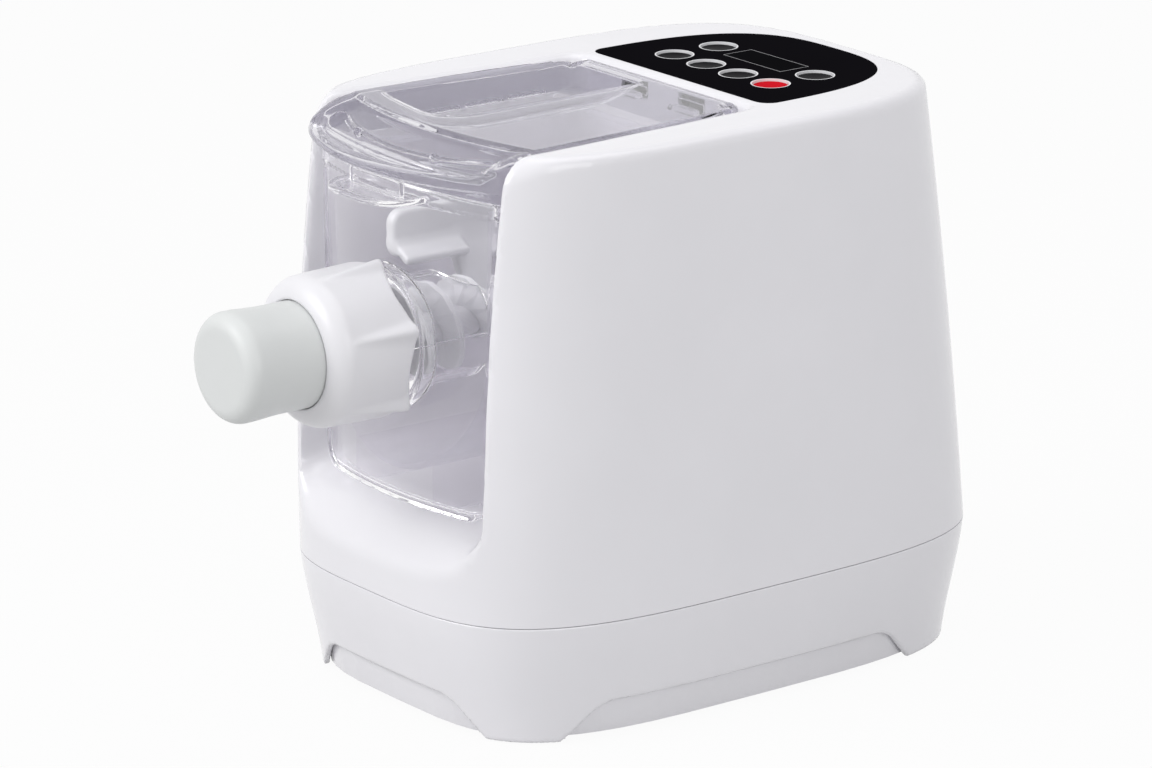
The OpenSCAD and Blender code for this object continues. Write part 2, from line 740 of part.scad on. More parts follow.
module motor_end_bells() {
    color([0.55, 0.56, 0.58]) {
        for (m = [0, 1]) translate([0, (1 - m) * motor_y + m * motor_rear, 0])
            mirror([0, m, 0]) along(0, motor_z) difference() {
                cylinder(h = bell_l, r = stator_r);
                translate([0, 0, 6]) cylinder(h = bell_l, r = stator_r - 3);
                translate([0, 0, -1]) cylinder(h = bell_l, r = 9 + run);
            }
    }
}
module motor_bearings() {
    color(steel) for (y = [motor_y, motor_rear - 6]) along(y, motor_z) tube(9, rotor_shaft_r + run, 6);
}
module drive_shaft() {
    color(steel) {
        along(bay_back) cylinder(h = case_back - bay_back + 1.5, r = shaft_r);
        along(shaft_nose) cylinder(h = bay_back - 0.5 - shaft_nose, r = hex_r, $fn = 6);
        along(bay_back - 1) cylinder(h = 1.5, r = shaft_r);
    }
}
shaft_nose = -6;
hex_r = 6.9;
module drive_gear() {
    color([0.90, 0.88, 0.80]) along(low_mesh_y) difference() {
        linear_extrude(low_face) gear_outline(drive_teeth, low_module, 90);
        for (z = [-1, low_face - 3]) translate([0, 0, z]) tube(low_pr - 7, 14, 4);
        translate([0, 0, -1]) cylinder(h = low_face + 2, r = shaft_r);
    }
}
module cluster_gear() {
    color([0.90, 0.88, 0.80]) difference() {
        union() {
            along(low_mesh_y, cluster_z) linear_extrude(low_face + 2)
                gear_outline(low_pinion_teeth, low_module, 180 / low_pinion_teeth - 90);
            along(high_mesh_y, cluster_z) linear_extrude(high_face)
                gear_outline(cluster_teeth, high_module, 90);
        }
        along(0, cluster_z) cylinder(h = far, r = axle_r + run);
    }
}
module motor_pinion() {
    color(steel) along(high_mesh_y, motor_z) difference() {
        linear_extrude(high_face)
            gear_outline(motor_pinion_teeth, high_module, 180 / motor_pinion_teeth - 90);
        translate([0, 0, -1]) cylinder(h = high_face + 2, r = rotor_shaft_r);
    }
}
module rotor_shaft() {
    color(steel) along(high_mesh_y, motor_z)
        cylinder(h = motor_rear + 12 - high_mesh_y, r = rotor_shaft_r);
}
module rotor_core() {
    color(copper) along(stack_y + 1, motor_z) difference() {
        cylinder(h = stack_l - 2, r = rotor_r);
        for (a = [0 : 30 : 359]) rotate([0, 0, a]) translate([rotor_r - 3, 0, -1])
            cylinder(h = stack_l, r = 1.4);
        translate([0, 0, -1]) cylinder(h = stack_l, r = rotor_shaft_r);
    }
}
module cooling_fan() {
    color(black) along(motor_rear + 1.5, motor_z) difference() {
        union() {
            cylinder(h = 9, r = 8);
            cylinder(h = 1.5, r = 25);
            for (a = [0 : 45 : 359]) rotate([0, 0, a]) translate([5, -0.8, 0]) cube([19, 1.6, 9]);
        }
        translate([0, 0, -1]) cylinder(h = 12, r = rotor_shaft_r);
    }
}

// ================================================================ lid
lip_wing = 142.2;       // the lip's wide part stays ahead of this, clear of the wings
module lid_plan() {
    lip_sag = lip_front - 140.8;
    lip_r = (lip_half_w * lip_half_w + lip_sag * lip_sag) / 2 / lip_sag;
    intersection() {
        bay_plan_rounded(-lid_gap);
        translate([-far / 2, -lip_front]) square([far, far]);
        translate([0, lip_r - lip_front]) circle(lip_r, $fn = 180);
    }
    intersection() {
        translate([0, lip_r - lip_front]) circle(lip_r, $fn = 180);
        translate([-lip_half_w, -lip_front]) square([2 * lip_half_w, lip_front - lip_wing]);
    }
}
// Side view of the lid: flat top, step, and the slope down to the lip; drop lowers it
module lid_side(drop) {
    polygon([[lid_pivot_y, body_h - lid_deep], [lid_pivot_y, body_h - drop], [-128, body_h - drop],
        [-131, body_h - 2.6 - drop], [-146, body_h - 8 - drop], [-160, body_h - 11 - drop],
        [-lip_front + 0.6, body_h - 14 - drop], [-lip_front, body_h - 16 - drop],
        [-lip_front, body_h - lid_deep]]);
}
module sideways(half_w) {
    translate([-half_w, 0, 0]) rotate([90, 0, 90]) linear_extrude(2 * half_w) children();
}
module plate_curve_space(r_less, z0, h) {
    translate([0, plate_curve - plate_front + 0.7, z0]) cylinder(h = h, r = plate_curve - r_less);
}
module lid_trough(grow) {
    top = body_h + 1;
    floor_z = body_h - trough_depth - grow;
    near = trough_near + grow;
    intersection() {
        translate([0, 60, 0]) rotate([90, 0, 0]) linear_extrude(180)
            polygon([[near, top], [near, floor_z], [-41, floor_z],
                [-69 - grow, body_h - 1.6 - grow], [-69 - grow, top]]);
        sideways(90)
            polygon([[8 + grow, top], [8 + grow, body_h - 1 - grow], [-14, floor_z],
                [-107 - grow, floor_z], [-113 - grow, top]]);
    }
}
module lid() {
    color(clear) difference() {
        union() {
            difference() {
                intersection() {
                    union() {
                        translate([0, 0, lip_z]) linear_extrude(far) lid_plan();
                        intersection() {
                            translate([0, 0, lid_end_z]) linear_extrude(10) lid_plan();
                            plate_curve_space(0, body_h - 2 * lid_deep, far);
                        }
                    }
                    sideways(90) lid_side(0);
                }
                difference() {
                    intersection() {
                        translate([0, 0, body_h - 2 * lid_deep]) linear_extrude(far)
                            bay_plan_rounded(-lid_gap - 2.5);
                        sideways(90) lid_side(lid_t);
                        plate_curve_space(2.5, body_h - 2 * lid_deep, far);
                    }
                    lid_trough(2.5);
                }
            }
            lid_back();
            for (s = [-1, 1]) translate([s * 31, -144.6, body_h - 11]) cylinder(h = 4.6, r = 2.2);
        }
        lid_trough(0);
        both_sides() translate([bay_back_half_w - lid_gap - bay_corner,
            lid_pivot_y - lid_back_r - 0.8, body_h - 2 * lid_deep])
            cube([20, 20, far]);
        for (i = [0 : slot_count - 1]) translate([-41 - slot_w, -98 + i * 26, body_h - lid_deep])
            cube([slot_w, slot_l, far]);
    }
    color(clear) both_sides() lid_hook();
}
// Rounded rear edge of the lid, which turns about the hinge line
module lid_back() {
    half_w = bay_back_half_w - lid_gap - bay_corner - 0.5;
    translate([-half_w, lid_pivot_y, hinge_z]) rotate([0, 90, 0])
        cylinder(h = 2 * half_w, r = lid_back_r - 0.2);
}
// Curved hook that swings into its slot about the hinge line
module lid_hook() {
    inner = hook_r - hook_t / 2;
    outer = hook_r + hook_t / 2;
    translate([hook_x - hook_w / 2, lid_pivot_y, hinge_z]) rotate([90, 0, 90])
        linear_extrude(hook_w) polygon(concat([[-3.4, 1]],
            [for (a = [-114 : 12 : -18]) outer * [cos(a), sin(a)]],
            [for (a = [-18 : -12 : -90]) inner * [cos(a), sin(a)]], [[-0.6, -1]]));
}

// ================================================================ bowl
module trough_outline(r) {
    circle(r);
    translate([-r, 0]) square([2 * r, far]);
}
module bowl() {
    color(clear) difference() {
        intersection() {
            difference() {
                union() {
                    translate([0, bowl_rear, feed_z]) rotate([90, 0, 0])
                        linear_extrude(plate_front + bowl_rear) trough_outline(bowl_r + bowl_wall);
                    translate([0, 0, rim_z - 2.5]) linear_extrude(2.5)
                        bay_plan_rounded(-bowl_gap);
                    both_sides() translate([rail_x, -plate_front, bay_floor + gap])
                        cube([bowl_wall, plate_front + bowl_rear - 4, feed_z - bay_floor - bowl_r + 6]);
                }
                translate([0, bowl_rear - bowl_wall, feed_z]) rotate([90, 0, 0])
                    linear_extrude(far) trough_outline(bowl_r);
            }
            translate([-far / 2, -far / 2, 0]) cube([far, far, rim_z]);
            plate_solid(plate_t + gap);
        }
        along(-20) cylinder(h = 60, r = 16 + run);
    }
}
bowl_rear = bay_back - 4;
module bowl_bush() {
    color(white) along(bowl_rear - 4) {
        difference() {
            union() {
                cylinder(h = 4, r = 16);
                cylinder(h = 1.4, r = 19);
            }
            translate([0, 0, -1]) cylinder(h = 6, r = hub_r + run);
        }
    }
}

// ================================================================ front plate
// Everything behind the plate's leaning, curved face, less a depth
module plate_solid(less) {
    translate([0, 0, mid_z]) rotate([-plate_lean, 0, 0]) translate([0, plate_curve - plate_front, 0])
        cylinder(h = 2 * far, r = plate_curve - less, center = true);
}
mid_z = 183;
module plate_outline() {
    offset(r = 12, $fn = 40) offset(delta = -12) polygon([[-plate_low_half_w, plate_low],
        [plate_low_half_w, plate_low], [plate_half_w, plate_end_z - 16], [plate_half_w, far],
        [-plate_half_w, far], [-plate_half_w, plate_end_z - 16]]);
}
module front_plate() {
    color(clear) difference() {
        union() {
            intersection() {
                difference() {
                    plate_solid(0);
                    plate_solid(plate_t);
                }
                translate([0, -60, 0]) rotate([90, 0, 0]) linear_extrude(200) plate_outline();
                cube([far, far, 2 * plate_end_z], center = true);
            }
            forward(barrel_rear) cylinder(h = boss_front - barrel_rear, r = barrel_r);
            forward(plate_front - 2) cylinder(h = boss_front - plate_front + 2, r = boss_r);
            forward(plate_front - 2) cylinder(h = 7, r = boss_r + 2.5);
            finger_shelf();
        }
        forward(barrel_rear - 1) cylinder(h = 100, r = barrel_bore_r);
        translate([0, 4 - barrel_rear, feed_z]) cylinder(h = 60, r = 17);
        translate([0, -barrel_rear - 17, feed_z - 60]) cylinder(h = 60, r = 7);
        seam_line();
    }
}
module finger_shelf() {
    shelf_top = plate_end_z - 3;
    depth = shelf_front - plate_front + 2;
    translate([0, 0, shelf_top - 3]) linear_extrude(3)
        polygon([for (i = [0 : 24]) let (t = 180 * i / 24)
            [shelf_half_w * signed_power(cos(t), 2 / 3),
             2 - plate_front - depth * signed_power(sin(t), 2 / 3)]]);
    translate([-21, -plate_front - 7, shelf_top - 1]) cube([42, 2.5, 6]);
}
module seam_line() {
    intersection() {
        difference() {
            plate_solid(-1);
            plate_solid(0.6);
        }
        translate([-far / 2, -far, plate_end_z - 7.4]) cube([far, far, 0.7]);
        difference() {
            cube([far, 2 * far, 2 * far], center = true);
            cube([46, 2 * far, 2 * far], center = true);
        }
    }
}

// ================================================================ nozzle
nut_l = nut_front - nut_rear;
function ridge_radius(a) = nut_body_r
    + (nut_ridge_r - nut_body_r) * pow((1 + cos(nut_ridges * (a - nut_phase))) / 2, 3);
module nut() {
    color(white) forward(nut_rear) difference() {
        intersection() {
            linear_extrude(nut_l) polygon([for (i = [0 : 95]) let (a = i * 3.75)
                [ridge_radius(a) * cos(a), ridge_radius(a) * sin(a)]]);
            rotate_extrude() polygon(concat([[0, 0], [nut_ridge_r, 0], [nut_ridge_r, 12]],
                [for (w = [0 : 15 : 90]) [nut_ridge_r - 13 + 13 * cos(w) * cos(w * 0.2),
                    nut_l - 17 + 17 * sin(w)]], [[0, nut_l]]));
        }
        translate([0, 0, -1]) cylinder(h = nut_l - nut_face_t + 1, r = boss_r + run);
        cylinder(h = nut_l + 1, r = nut_hole_r);
        for (k = [0 : nut_ridges - 1]) rotate([0, 0, nut_phase + 360 / nut_ridges * (k + 0.5)])
            translate([boss_r - 2, 0, -27]) rotate([0, 90, 0]) cylinder(h = 20, r = 30);
    }
}
die_rear = boss_front + gap;
die_front = die_rear + die_t;
spigot_r = 21.4;
module shaping_disc() {
    color(white) forward(die_rear) difference() {
        union() {
            cylinder(h = die_t, r = boss_r - 0.4);
            cylinder(h = die_t + 8, r = spigot_r);
        }
        for (ring = [[1, 0], [6, 7], [12, 14]], i = [0 : ring[0] - 1])
            rotate([0, 0, 360 * i / ring[0]]) translate([ring[1], 0, -1])
            cylinder(h = 40, r = die_hole_r);
    }
}
module outlet_cap() {
    cap_l = cap_front - die_front - gap;
    edge = 7;
    color([0.88, 0.89, 0.89]) forward(die_front + gap) rotate_extrude()
        polygon(concat([[spigot_r + run, 0], [cap_r, 0], [cap_r + 1.3, cap_l - edge - 3]],
            [for (w = [0 : 18 : 90])
                [cap_r + 1.3 - edge + edge * cos(w), cap_l - edge + edge * sin(w)]],
            [[0, cap_l], [0, cap_l - 3.4], [spigot_r - 2, cap_l - 3.4],
                [spigot_r + run, cap_l - 8]]));
}

// ================================================================ mixer
hub_r = 12;
hub_front = 100;
arm_front = hub_front - 1;
arm_w = 26;
blade_root = 33;
blade_front = 132;
rear_arm = 36;
// Flat blade on its arm; the outline's points are distance from the axis, place along it
module blade(turn, outline) {
    along(0) rotate([0, 0, turn]) rotate([90, 0, 0]) translate([0, 0, -blade_t / 2])
        linear_extrude(blade_t) offset(r = 5, $fn = 24) offset(delta = -5) polygon(outline);
}
module paddle() {
    color(white) difference() {
        union() {
            along(0) translate([0, 0, -hub_front]) cylinder(h = hub_front + bowl_rear + 1, r = 10);
            along(0) translate([0, 0, 4]) cylinder(h = bowl_rear - 3, r = hub_r);
            blade(-blade_angle, [[0, -arm_front], [0, arm_w - arm_front],
                [blade_r, arm_w - arm_front], [blade_r, -blade_front],
                [blade_root, -blade_front], [blade_root, -arm_front]]);
            blade(180 - blade_angle, [[0, -rear_arm - arm_w], [0, -rear_arm],
                [blade_root, -rear_arm], [blade_root, 3], [blade_r, 3],
                [blade_r, -rear_arm - arm_w]]);
        }
        along(shaft_nose - 2) cylinder(h = 40, r = hex_r + gap, $fn = 6);
        forward(hub_front - 14) translate([-4.7, -4.7, 0]) cube([9.4, 9.4, 20]);
    }
}
module auger() {
    rear = hub_front + gap;
    front = boss_front - 4;
    turns = (front - rear) / auger_pitch;
    color(white) {
        forward(rear) linear_extrude(front - rear, twist = -360 * turns,
            slices = 14 * turns, segments = 1)
            union() {
                circle(auger_core_r, $fn = 20);
                polygon(concat([[0, 0]], [for (a = [-26 : 13 : 26]) auger_r * [cos(a), sin(a)]]));
            }
        forward(rear - 13) translate([-4.5, -4.5, 0]) cube([9, 9, 14]);
    }
}

// ================================================================ buttons
module button(b, tint) {
    color(tint) translate([b[0], b[1], 0]) difference() {
        union() {
            translate([0, 0, stem_low]) cylinder(h = 8, r = 3);
            translate([0, 0, panel_low - gap - 1.5]) cylinder(h = 1.5, r = flange_r);
            translate([0, 0, panel_low - gap - 1]) rotate_extrude()
                polygon([[0, 0], [button_r, 0], [button_r, 1.7], [button_r - 0.5, 2.2], [0, 2.2]]);
        }
        translate([0, 0, panel_low - gap + 1.2 + 60 - 0.5]) sphere(r = 60);
    }
}
module button_power() { button(buttons[0], [0.88, 0.12, 0.14]); }
module button_start() { button(buttons[1], black); }
module button_stop() { button(buttons[2], black); }
module button_mode() { button(buttons[3], black); }
module button_weight() { button(buttons[4], black); }
module button_timer() { button(buttons[5], black); }

housing();
base_skirt();
base_pan();
foot_pads();
base_screws();
cord_gland();
control_panel();
button_bezels();
display_window();
display_module();
control_board();
board_screws();
tact_switches();
lid_switch();
power_board();
motor_cradle();
motor_stator();
motor_end_bells();
motor_bearings();
gearbox_case();
gearbox_cover();
gearbox_screws();
shaft_bushes();
shaft_seal();
cluster_axle();
drive_shaft();
drive_gear();
cluster_gear();
rotor_core();
rotor_shaft();
motor_pinion();
cooling_fan();
lid();
bowl();
bowl_bush();
front_plate();
nut();
shaping_disc();
outlet_cap();
paddle();
auger();
button_power();
button_start();
button_stop();
button_mode();
button_weight();
button_timer();
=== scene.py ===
"""Electric pasta maker: the looks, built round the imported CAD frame.

Sizes are millimetres in the CAD's own frame and become metres when a mesh is made. The machine's
front is -Y and Z is up. Moulded shapes with soft edges are written as signed distances (negative
inside) and turned into closed quad meshes by surface_net().
"""

import math

import bmesh
import bpy
import numpy as np
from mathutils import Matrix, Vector


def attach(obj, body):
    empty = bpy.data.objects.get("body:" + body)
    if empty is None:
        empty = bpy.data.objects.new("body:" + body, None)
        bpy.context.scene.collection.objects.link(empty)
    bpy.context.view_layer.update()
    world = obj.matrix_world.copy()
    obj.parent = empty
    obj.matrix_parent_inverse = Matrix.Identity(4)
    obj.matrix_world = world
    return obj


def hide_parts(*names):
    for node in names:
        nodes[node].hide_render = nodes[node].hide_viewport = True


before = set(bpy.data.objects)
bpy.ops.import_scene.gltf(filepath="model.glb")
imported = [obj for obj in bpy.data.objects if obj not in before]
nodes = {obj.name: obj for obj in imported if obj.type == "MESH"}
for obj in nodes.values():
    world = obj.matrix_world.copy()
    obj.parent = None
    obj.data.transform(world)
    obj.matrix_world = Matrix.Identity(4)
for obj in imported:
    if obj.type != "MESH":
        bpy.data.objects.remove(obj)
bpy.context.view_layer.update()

MM = 0.001

# ------------------------------------------------------------------ driving sizes, as in the CAD
BODY_H = 290.0
SEAM_Z = 62.0
SEAM_HALF_W, SEAM_HALF_D = 112.7, 162.7
TOP_HALF_W, TOP_FRONT, TOP_REAR = 103.0, 153.5, 136.5
FOOT_HALF_W, FOOT_HALF_D = 104.9, 150.2
SQUARENESS = 3.6
WALL = 3.0
TOP_ROUND, FRONT_ROUND = 4.5, 16.0
FRONT_BELLY, REAR_BELLY = 4.6, 1.5
PAD_LIFT = 1.0
ARCH_H, ARCH_HALF_W, ARCH_FRONT, ARCH_REAR = 20.0, 68.0, 117.0, 96.0
ARCH_LEAN, ARCH_ROUND = 0.935, 6.0
SKIRT_EDGE = 0.8
FEED_Z = 189.0
BAY_HALF_W, BAY_BACK_HALF_W, BAY_BACK, BAY_FLOOR = 75.0, 68.5, 18.0, 106.0
BAY_MOUTH, BAY_ROUND, BAY_CORNER = 110.0, 15.0, 8.0
BAY_EDGE, BAY_EDGE_LOW = 4.5, 3.0
LEDGE_START, LEDGE_SLOPE, LEDGE_ROUND = 143.0, 1.19, 14.0
LID_PIVOT_Y, LID_PIVOT_Z = 13.0, 285.4
HOOK_X = 22.5


# ------------------------------------------------------------------ distances
def mix(a, b, t):
    return a + (b - a) * t


def ease(t):
    t = np.clip(t, 0, 1)
    return t * t * (3 - 2 * t)


def both(a, b, r):
    """Inside a and b, the outer edge between them rounded by r."""
    r = np.maximum(r, 1e-6)
    return np.minimum(np.maximum(a, b), -r) + np.hypot(np.maximum(a + r, 0), np.maximum(b + r, 0))


def either(a, b, r):
    """Inside a or b, the inner corner between them filled by r."""
    return -both(-a, -b, r)


def less(a, b, r):
    """Inside a and outside b, the edge rounded by r."""
    return both(a, -b, r)


def squared_oval(x, y, a, b, mid, n):
    """Distance to a squared-off oval of half sizes a and b about y = mid."""
    u, v = np.abs(x) / a, np.abs(y - mid) / b
    s = (u**n + v**n) ** (1 / n) + 1e-6
    slope = np.hypot(u ** (n - 1) / a, v ** (n - 1) / b) * s ** (1 - n)
    return (s - 1) / np.maximum(slope, 1e-4)


def surface_net(field, low, high, step):
    """Closed quad mesh of field = 0 in the box low to high: one vertex for each cell that the surface
    crosses, moved on to the surface."""
    axes = [np.arange(a - step, b + 2 * step, step) for a, b in zip(low, high)]
    value = field(*np.meshgrid(*axes, indexing="ij"))
    for face in (0, -1):
        value[face] = value[:, face] = value[:, :, face] = step
    shape = np.array(value.shape) - 1
    total, count, quads = np.zeros((shape.prod(), 3)), np.zeros(shape.prod()), []
    for axis in range(3):
        first = tuple(slice(None, -1) if d == axis else slice(None) for d in range(3))
        second = tuple(slice(1, None) if d == axis else slice(None) for d in range(3))
        a, b = value[first], value[second]
        at = np.argwhere((a < 0) != (b < 0))
        va, vb = a[tuple(at.T)], b[tuple(at.T)]
        point = at.astype(float)
        point[:, axis] += va / (va - vb)
        u, w = [(axis + 1) % 3, (axis + 2) % 3]
        ring = []
        for du, dw in ((0, 0), (-1, 0), (-1, -1), (0, -1)):
            cell = at.copy()
            cell[:, u] += du
            cell[:, w] += dw
            flat = np.ravel_multi_index(cell.T, shape)
            ring.append(flat)
            for d in range(3):
                total[:, d] += np.bincount(flat, point[:, d], minlength=len(total))
            count += np.bincount(flat, minlength=len(count))
        ring = np.array(ring).T
        quads.append(np.where((va < 0)[:, None], ring, ring[:, ::-1]))
    used = np.nonzero(count)[0]
    index = np.zeros(len(count), int)
    index[used] = np.arange(len(used))
    points = total[used] / count[used][:, None] * step + [a[0] for a in axes]
    for _ in range(4):
        points -= np.clip(newton(field, points), -step / 2, step / 2)
    return points, index[np.concatenate(quads)]


def newton(field, points, h=0.02):
    """The move that takes each point off the surface, along the field's gradient."""
    here = field(*points.T)
    slope = np.array([field(*(points + h * e).T) - field(*(points - h * e).T) for e in np.eye(3)]).T
    slope /= 2 * h
    return slope * (here / np.maximum((slope**2).sum(1), 0.05))[:, None]


def add_mesh(name, points, faces, body, material, stands_for=()):
    """A piece from points in millimetres, which rides on body."""
    mesh = bpy.data.meshes.new(name)
    mesh.from_pydata((np.asarray(points) * MM).tolist(), [], [list(map(int, f)) for f in faces])
    mesh.validate()
    mesh.shade_smooth()
    mesh.materials.append(material)
    piece = bpy.data.objects.new(name, mesh)
    bpy.context.scene.collection.objects.link(piece)
    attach(piece, body)
    if stands_for:
        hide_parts(*stands_for)
    return piece


def reshape(piece, work):
    """Edits a piece's mesh with work(bm)."""
    bm = bmesh.new()
    bm.from_mesh(piece.data)
    work(bm)
    bm.normal_update()
    bm.to_mesh(piece.data)
    bm.free()
    piece.data.update()


def hollow_out(piece, cutters):
    """Takes closed cutter meshes (name, points in mm, faces) out of a piece."""
    for name, points, faces in cutters:
        mesh = bpy.data.meshes.new(name)
        mesh.from_pydata([Vector(p) * MM for p in points], [], faces)
        cutter = bpy.data.objects.new(name, mesh)
        bpy.context.scene.collection.objects.link(cutter)
        cut = piece.modifiers.new(name, "BOOLEAN")
        cut.operation, cut.solver, cut.object = "DIFFERENCE", "EXACT", cutter
        made = bpy.data.meshes.new_from_object(piece.evaluated_get(bpy.context.evaluated_depsgraph_get()))
        piece.modifiers.clear()
        piece.data = made
        bpy.data.objects.remove(cutter)
    piece.data.set_sharp_from_angle(angle=math.radians(35))


def prism(name, outline, low, high, axis=2):
    """Closed prism over a flat outline, from low to high along axis 1 (Y) or 2 (Z)."""
    n = len(outline)
    place = (lambda u, v, w: (u, v, w)) if axis == 2 else (lambda u, v, w: (u, w, v))
    points = [place(u, v, w) for w in (low, high) for u, v in outline]
    faces = [tuple(range(n))[::-1], tuple(range(n, 2 * n))]
    faces += [(i, (i + 1) % n, n + (i + 1) % n, n + i) for i in range(n)]
    if axis == 1:
        faces = [f[::-1] for f in faces]
    return name, points, faces


def cut_flat(piece, point, normal):
    """Cuts away what lies on normal's side of a plane and closes the cut."""

    def work(bm):
        made = bmesh.ops.bisect_plane(bm, geom=bm.verts[:] + bm.edges[:] + bm.faces[:],
                                      plane_co=Vector(point) * MM, plane_no=normal, clear_outer=True)
        rim = [e for e in made["geom_cut"] if isinstance(e, bmesh.types.BMEdge)]
        closed = bmesh.ops.triangle_fill(bm, edges=rim, use_beauty=True, use_dissolve=False)
        for f in closed["geom"]:
            if isinstance(f, bmesh.types.BMFace):
                f.smooth = False

    reshape(piece, work)


# ------------------------------------------------------------------ materials
GRAIN_DEPTH, WALL_RIPPLE = 0.00002, 0.0004  # metres
DEEPEST_BOUNCE = 5


def principled(name):
    material = bpy.data.materials.new(name)
    material.use_nodes = True
    return material, material.node_tree, material.node_tree.nodes["Principled BSDF"]


def noise(tree, scale, detail=3.0):
    """Noise over the object's own metres."""
    place = tree.nodes.new("ShaderNodeTexCoord")
    grain = tree.nodes.new("ShaderNodeTexNoise")
    grain.inputs["Scale"].default_value = scale
    grain.inputs["Detail"].default_value = detail
    tree.links.new(place.outputs["Object"], grain.inputs["Vector"])
    return grain.outputs["Fac"]


def maths(tree, operation, a, b):
    """Math node of a socket and a socket or number."""
    node = tree.nodes.new("ShaderNodeMath")
    node.operation = operation
    tree.links.new(a, node.inputs[0])
    if isinstance(b, float):
        node.inputs[1].default_value = b
    else:
        tree.links.new(b, node.inputs[1])
    return node.outputs[0]


def blended(tree, share, first, second):
    """Mix of two shaders: first where share is 0, second where it is 1."""
    node = tree.nodes.new("ShaderNodeMixShader")
    tree.links.new(share, node.inputs["Fac"])
    tree.links.new(first, node.inputs[1])
    tree.links.new(second, node.inputs[2])
    return node.outputs[0]


def coloured(tree, kind, colour):
    """Shader node of one colour."""
    node = tree.nodes.new(kind)
    node.inputs["Color"].default_value = (*colour, 1)
    return node


def ranged(tree, source, low, high):
    """Spreads the middle of source, where noise lies, over low to high."""
    node = tree.nodes.new("ShaderNodeMapRange")
    node.inputs["From Min"].default_value = 0.3
    node.inputs["From Max"].default_value = 0.7
    node.inputs["To Min"].default_value = low
    node.inputs["To Max"].default_value = high
    tree.links.new(source, node.inputs["Value"])
    return node.outputs["Result"]


def tinted(tree, source, dark, light):
    """Colour that drifts from dark to light with source."""
    ramp = tree.nodes.new("ShaderNodeValToRGB")
    ramp.color_ramp.elements[0].position = 0.3
    ramp.color_ramp.elements[1].position = 0.7
    ramp.color_ramp.elements[0].color = (*dark, 1)
    ramp.color_ramp.elements[1].color = (*light, 1)
    tree.links.new(source, ramp.inputs["Fac"])
    return ramp.outputs["Color"]


def bumped(tree, shader, height, strength, distance):
    bump = tree.nodes.new("ShaderNodeBump")
    bump.inputs["Strength"].default_value = strength
    bump.inputs["Distance"].default_value = distance
    tree.links.new(height, bump.inputs["Height"])
    tree.links.new(bump.outputs["Normal"], shader.inputs["Normal"])


def drifting(tree, shader, scale, colour, spread):
    """Gives a shader a colour that drifts down by the share spread."""
    darker = tuple(c * (1 - spread) for c in colour)
    tree.links.new(tinted(tree, noise(tree, scale), darker, colour), shader.inputs["Base Color"])


def plastic(name, colour, rough, spread=0.03, grain=2200.0, bump=0.04, metallic=0.0, **sockets):
    """Moulded material: slight colour drift, uneven gloss and a fine grain."""
    material, tree, shader = principled(name)
    drifting(tree, shader, 14.0, colour, spread)
    tree.links.new(ranged(tree, noise(tree, 60.0, 4.0), rough * 0.85, min(rough * 1.2, 1)),
                   shader.inputs["Roughness"])
    bumped(tree, shader, noise(tree, grain, 2.0), bump, GRAIN_DEPTH)
    shader.inputs["Metallic"].default_value = metallic
    for key, value in sockets.items():
        shader.inputs[key.replace("_", " ")].default_value = value
    return material


def open_to_light(tree, surface, colour, depth=None):
    """Makes a clear surface let lamps and soft light through, and rays that have bounced depth times."""
    path = tree.nodes.new("ShaderNodeLightPath")
    share = maths(tree, "MAXIMUM", path.outputs["Is Shadow Ray"], path.outputs["Is Diffuse Ray"])
    if depth:
        spent = maths(tree, "GREATER_THAN", path.outputs["Ray Depth"], depth - 0.5)
        share = maths(tree, "MAXIMUM", share, spent)
    through = coloured(tree, "ShaderNodeBsdfTransparent", [0.8 + c / 5 for c in colour])
    tree.links.new(blended(tree, share, surface, through.outputs[0]),
                   tree.nodes["Material Output"].inputs["Surface"])


def clear(name, colour, rough, ior, ripple):
    """Clear moulded plastic with the gentle waviness of a thin wall."""
    material, tree, shader = principled(name)
    open_to_light(tree, shader.outputs["BSDF"], colour, DEEPEST_BOUNCE)
    drifting(tree, shader, 20.0, colour, 0.03)
    tree.links.new(ranged(tree, noise(tree, 90.0), rough * 0.6, rough), shader.inputs["Roughness"])
    bumped(tree, shader, noise(tree, 30.0, 1.0), ripple, WALL_RIPPLE)
    shader.inputs["Transmission Weight"].default_value = 1.0
    shader.inputs["IOR"].default_value = ior
    return material


def film(name, colour, sheen):
    """Thin clear wall: see-through where it faces the eye, whiter and shinier at its edges."""
    material, tree, shader = principled(name)
    drifting(tree, shader, 20.0, sheen, 0.04)
    tree.links.new(ranged(tree, noise(tree, 90.0), 0.06, 0.12), shader.inputs["Roughness"])
    bumped(tree, shader, noise(tree, 30.0, 1.0), 0.1, WALL_RIPPLE)
    edge = tree.nodes.new("ShaderNodeLayerWeight")
    edge.inputs["Blend"].default_value = 0.35
    share = ranged(tree, edge.outputs["Facing"], 0.05, 0.45)
    through = coloured(tree, "ShaderNodeBsdfTransparent", colour)
    open_to_light(tree, blended(tree, share, through.outputs[0], shader.outputs["BSDF"]), colour)
    return material


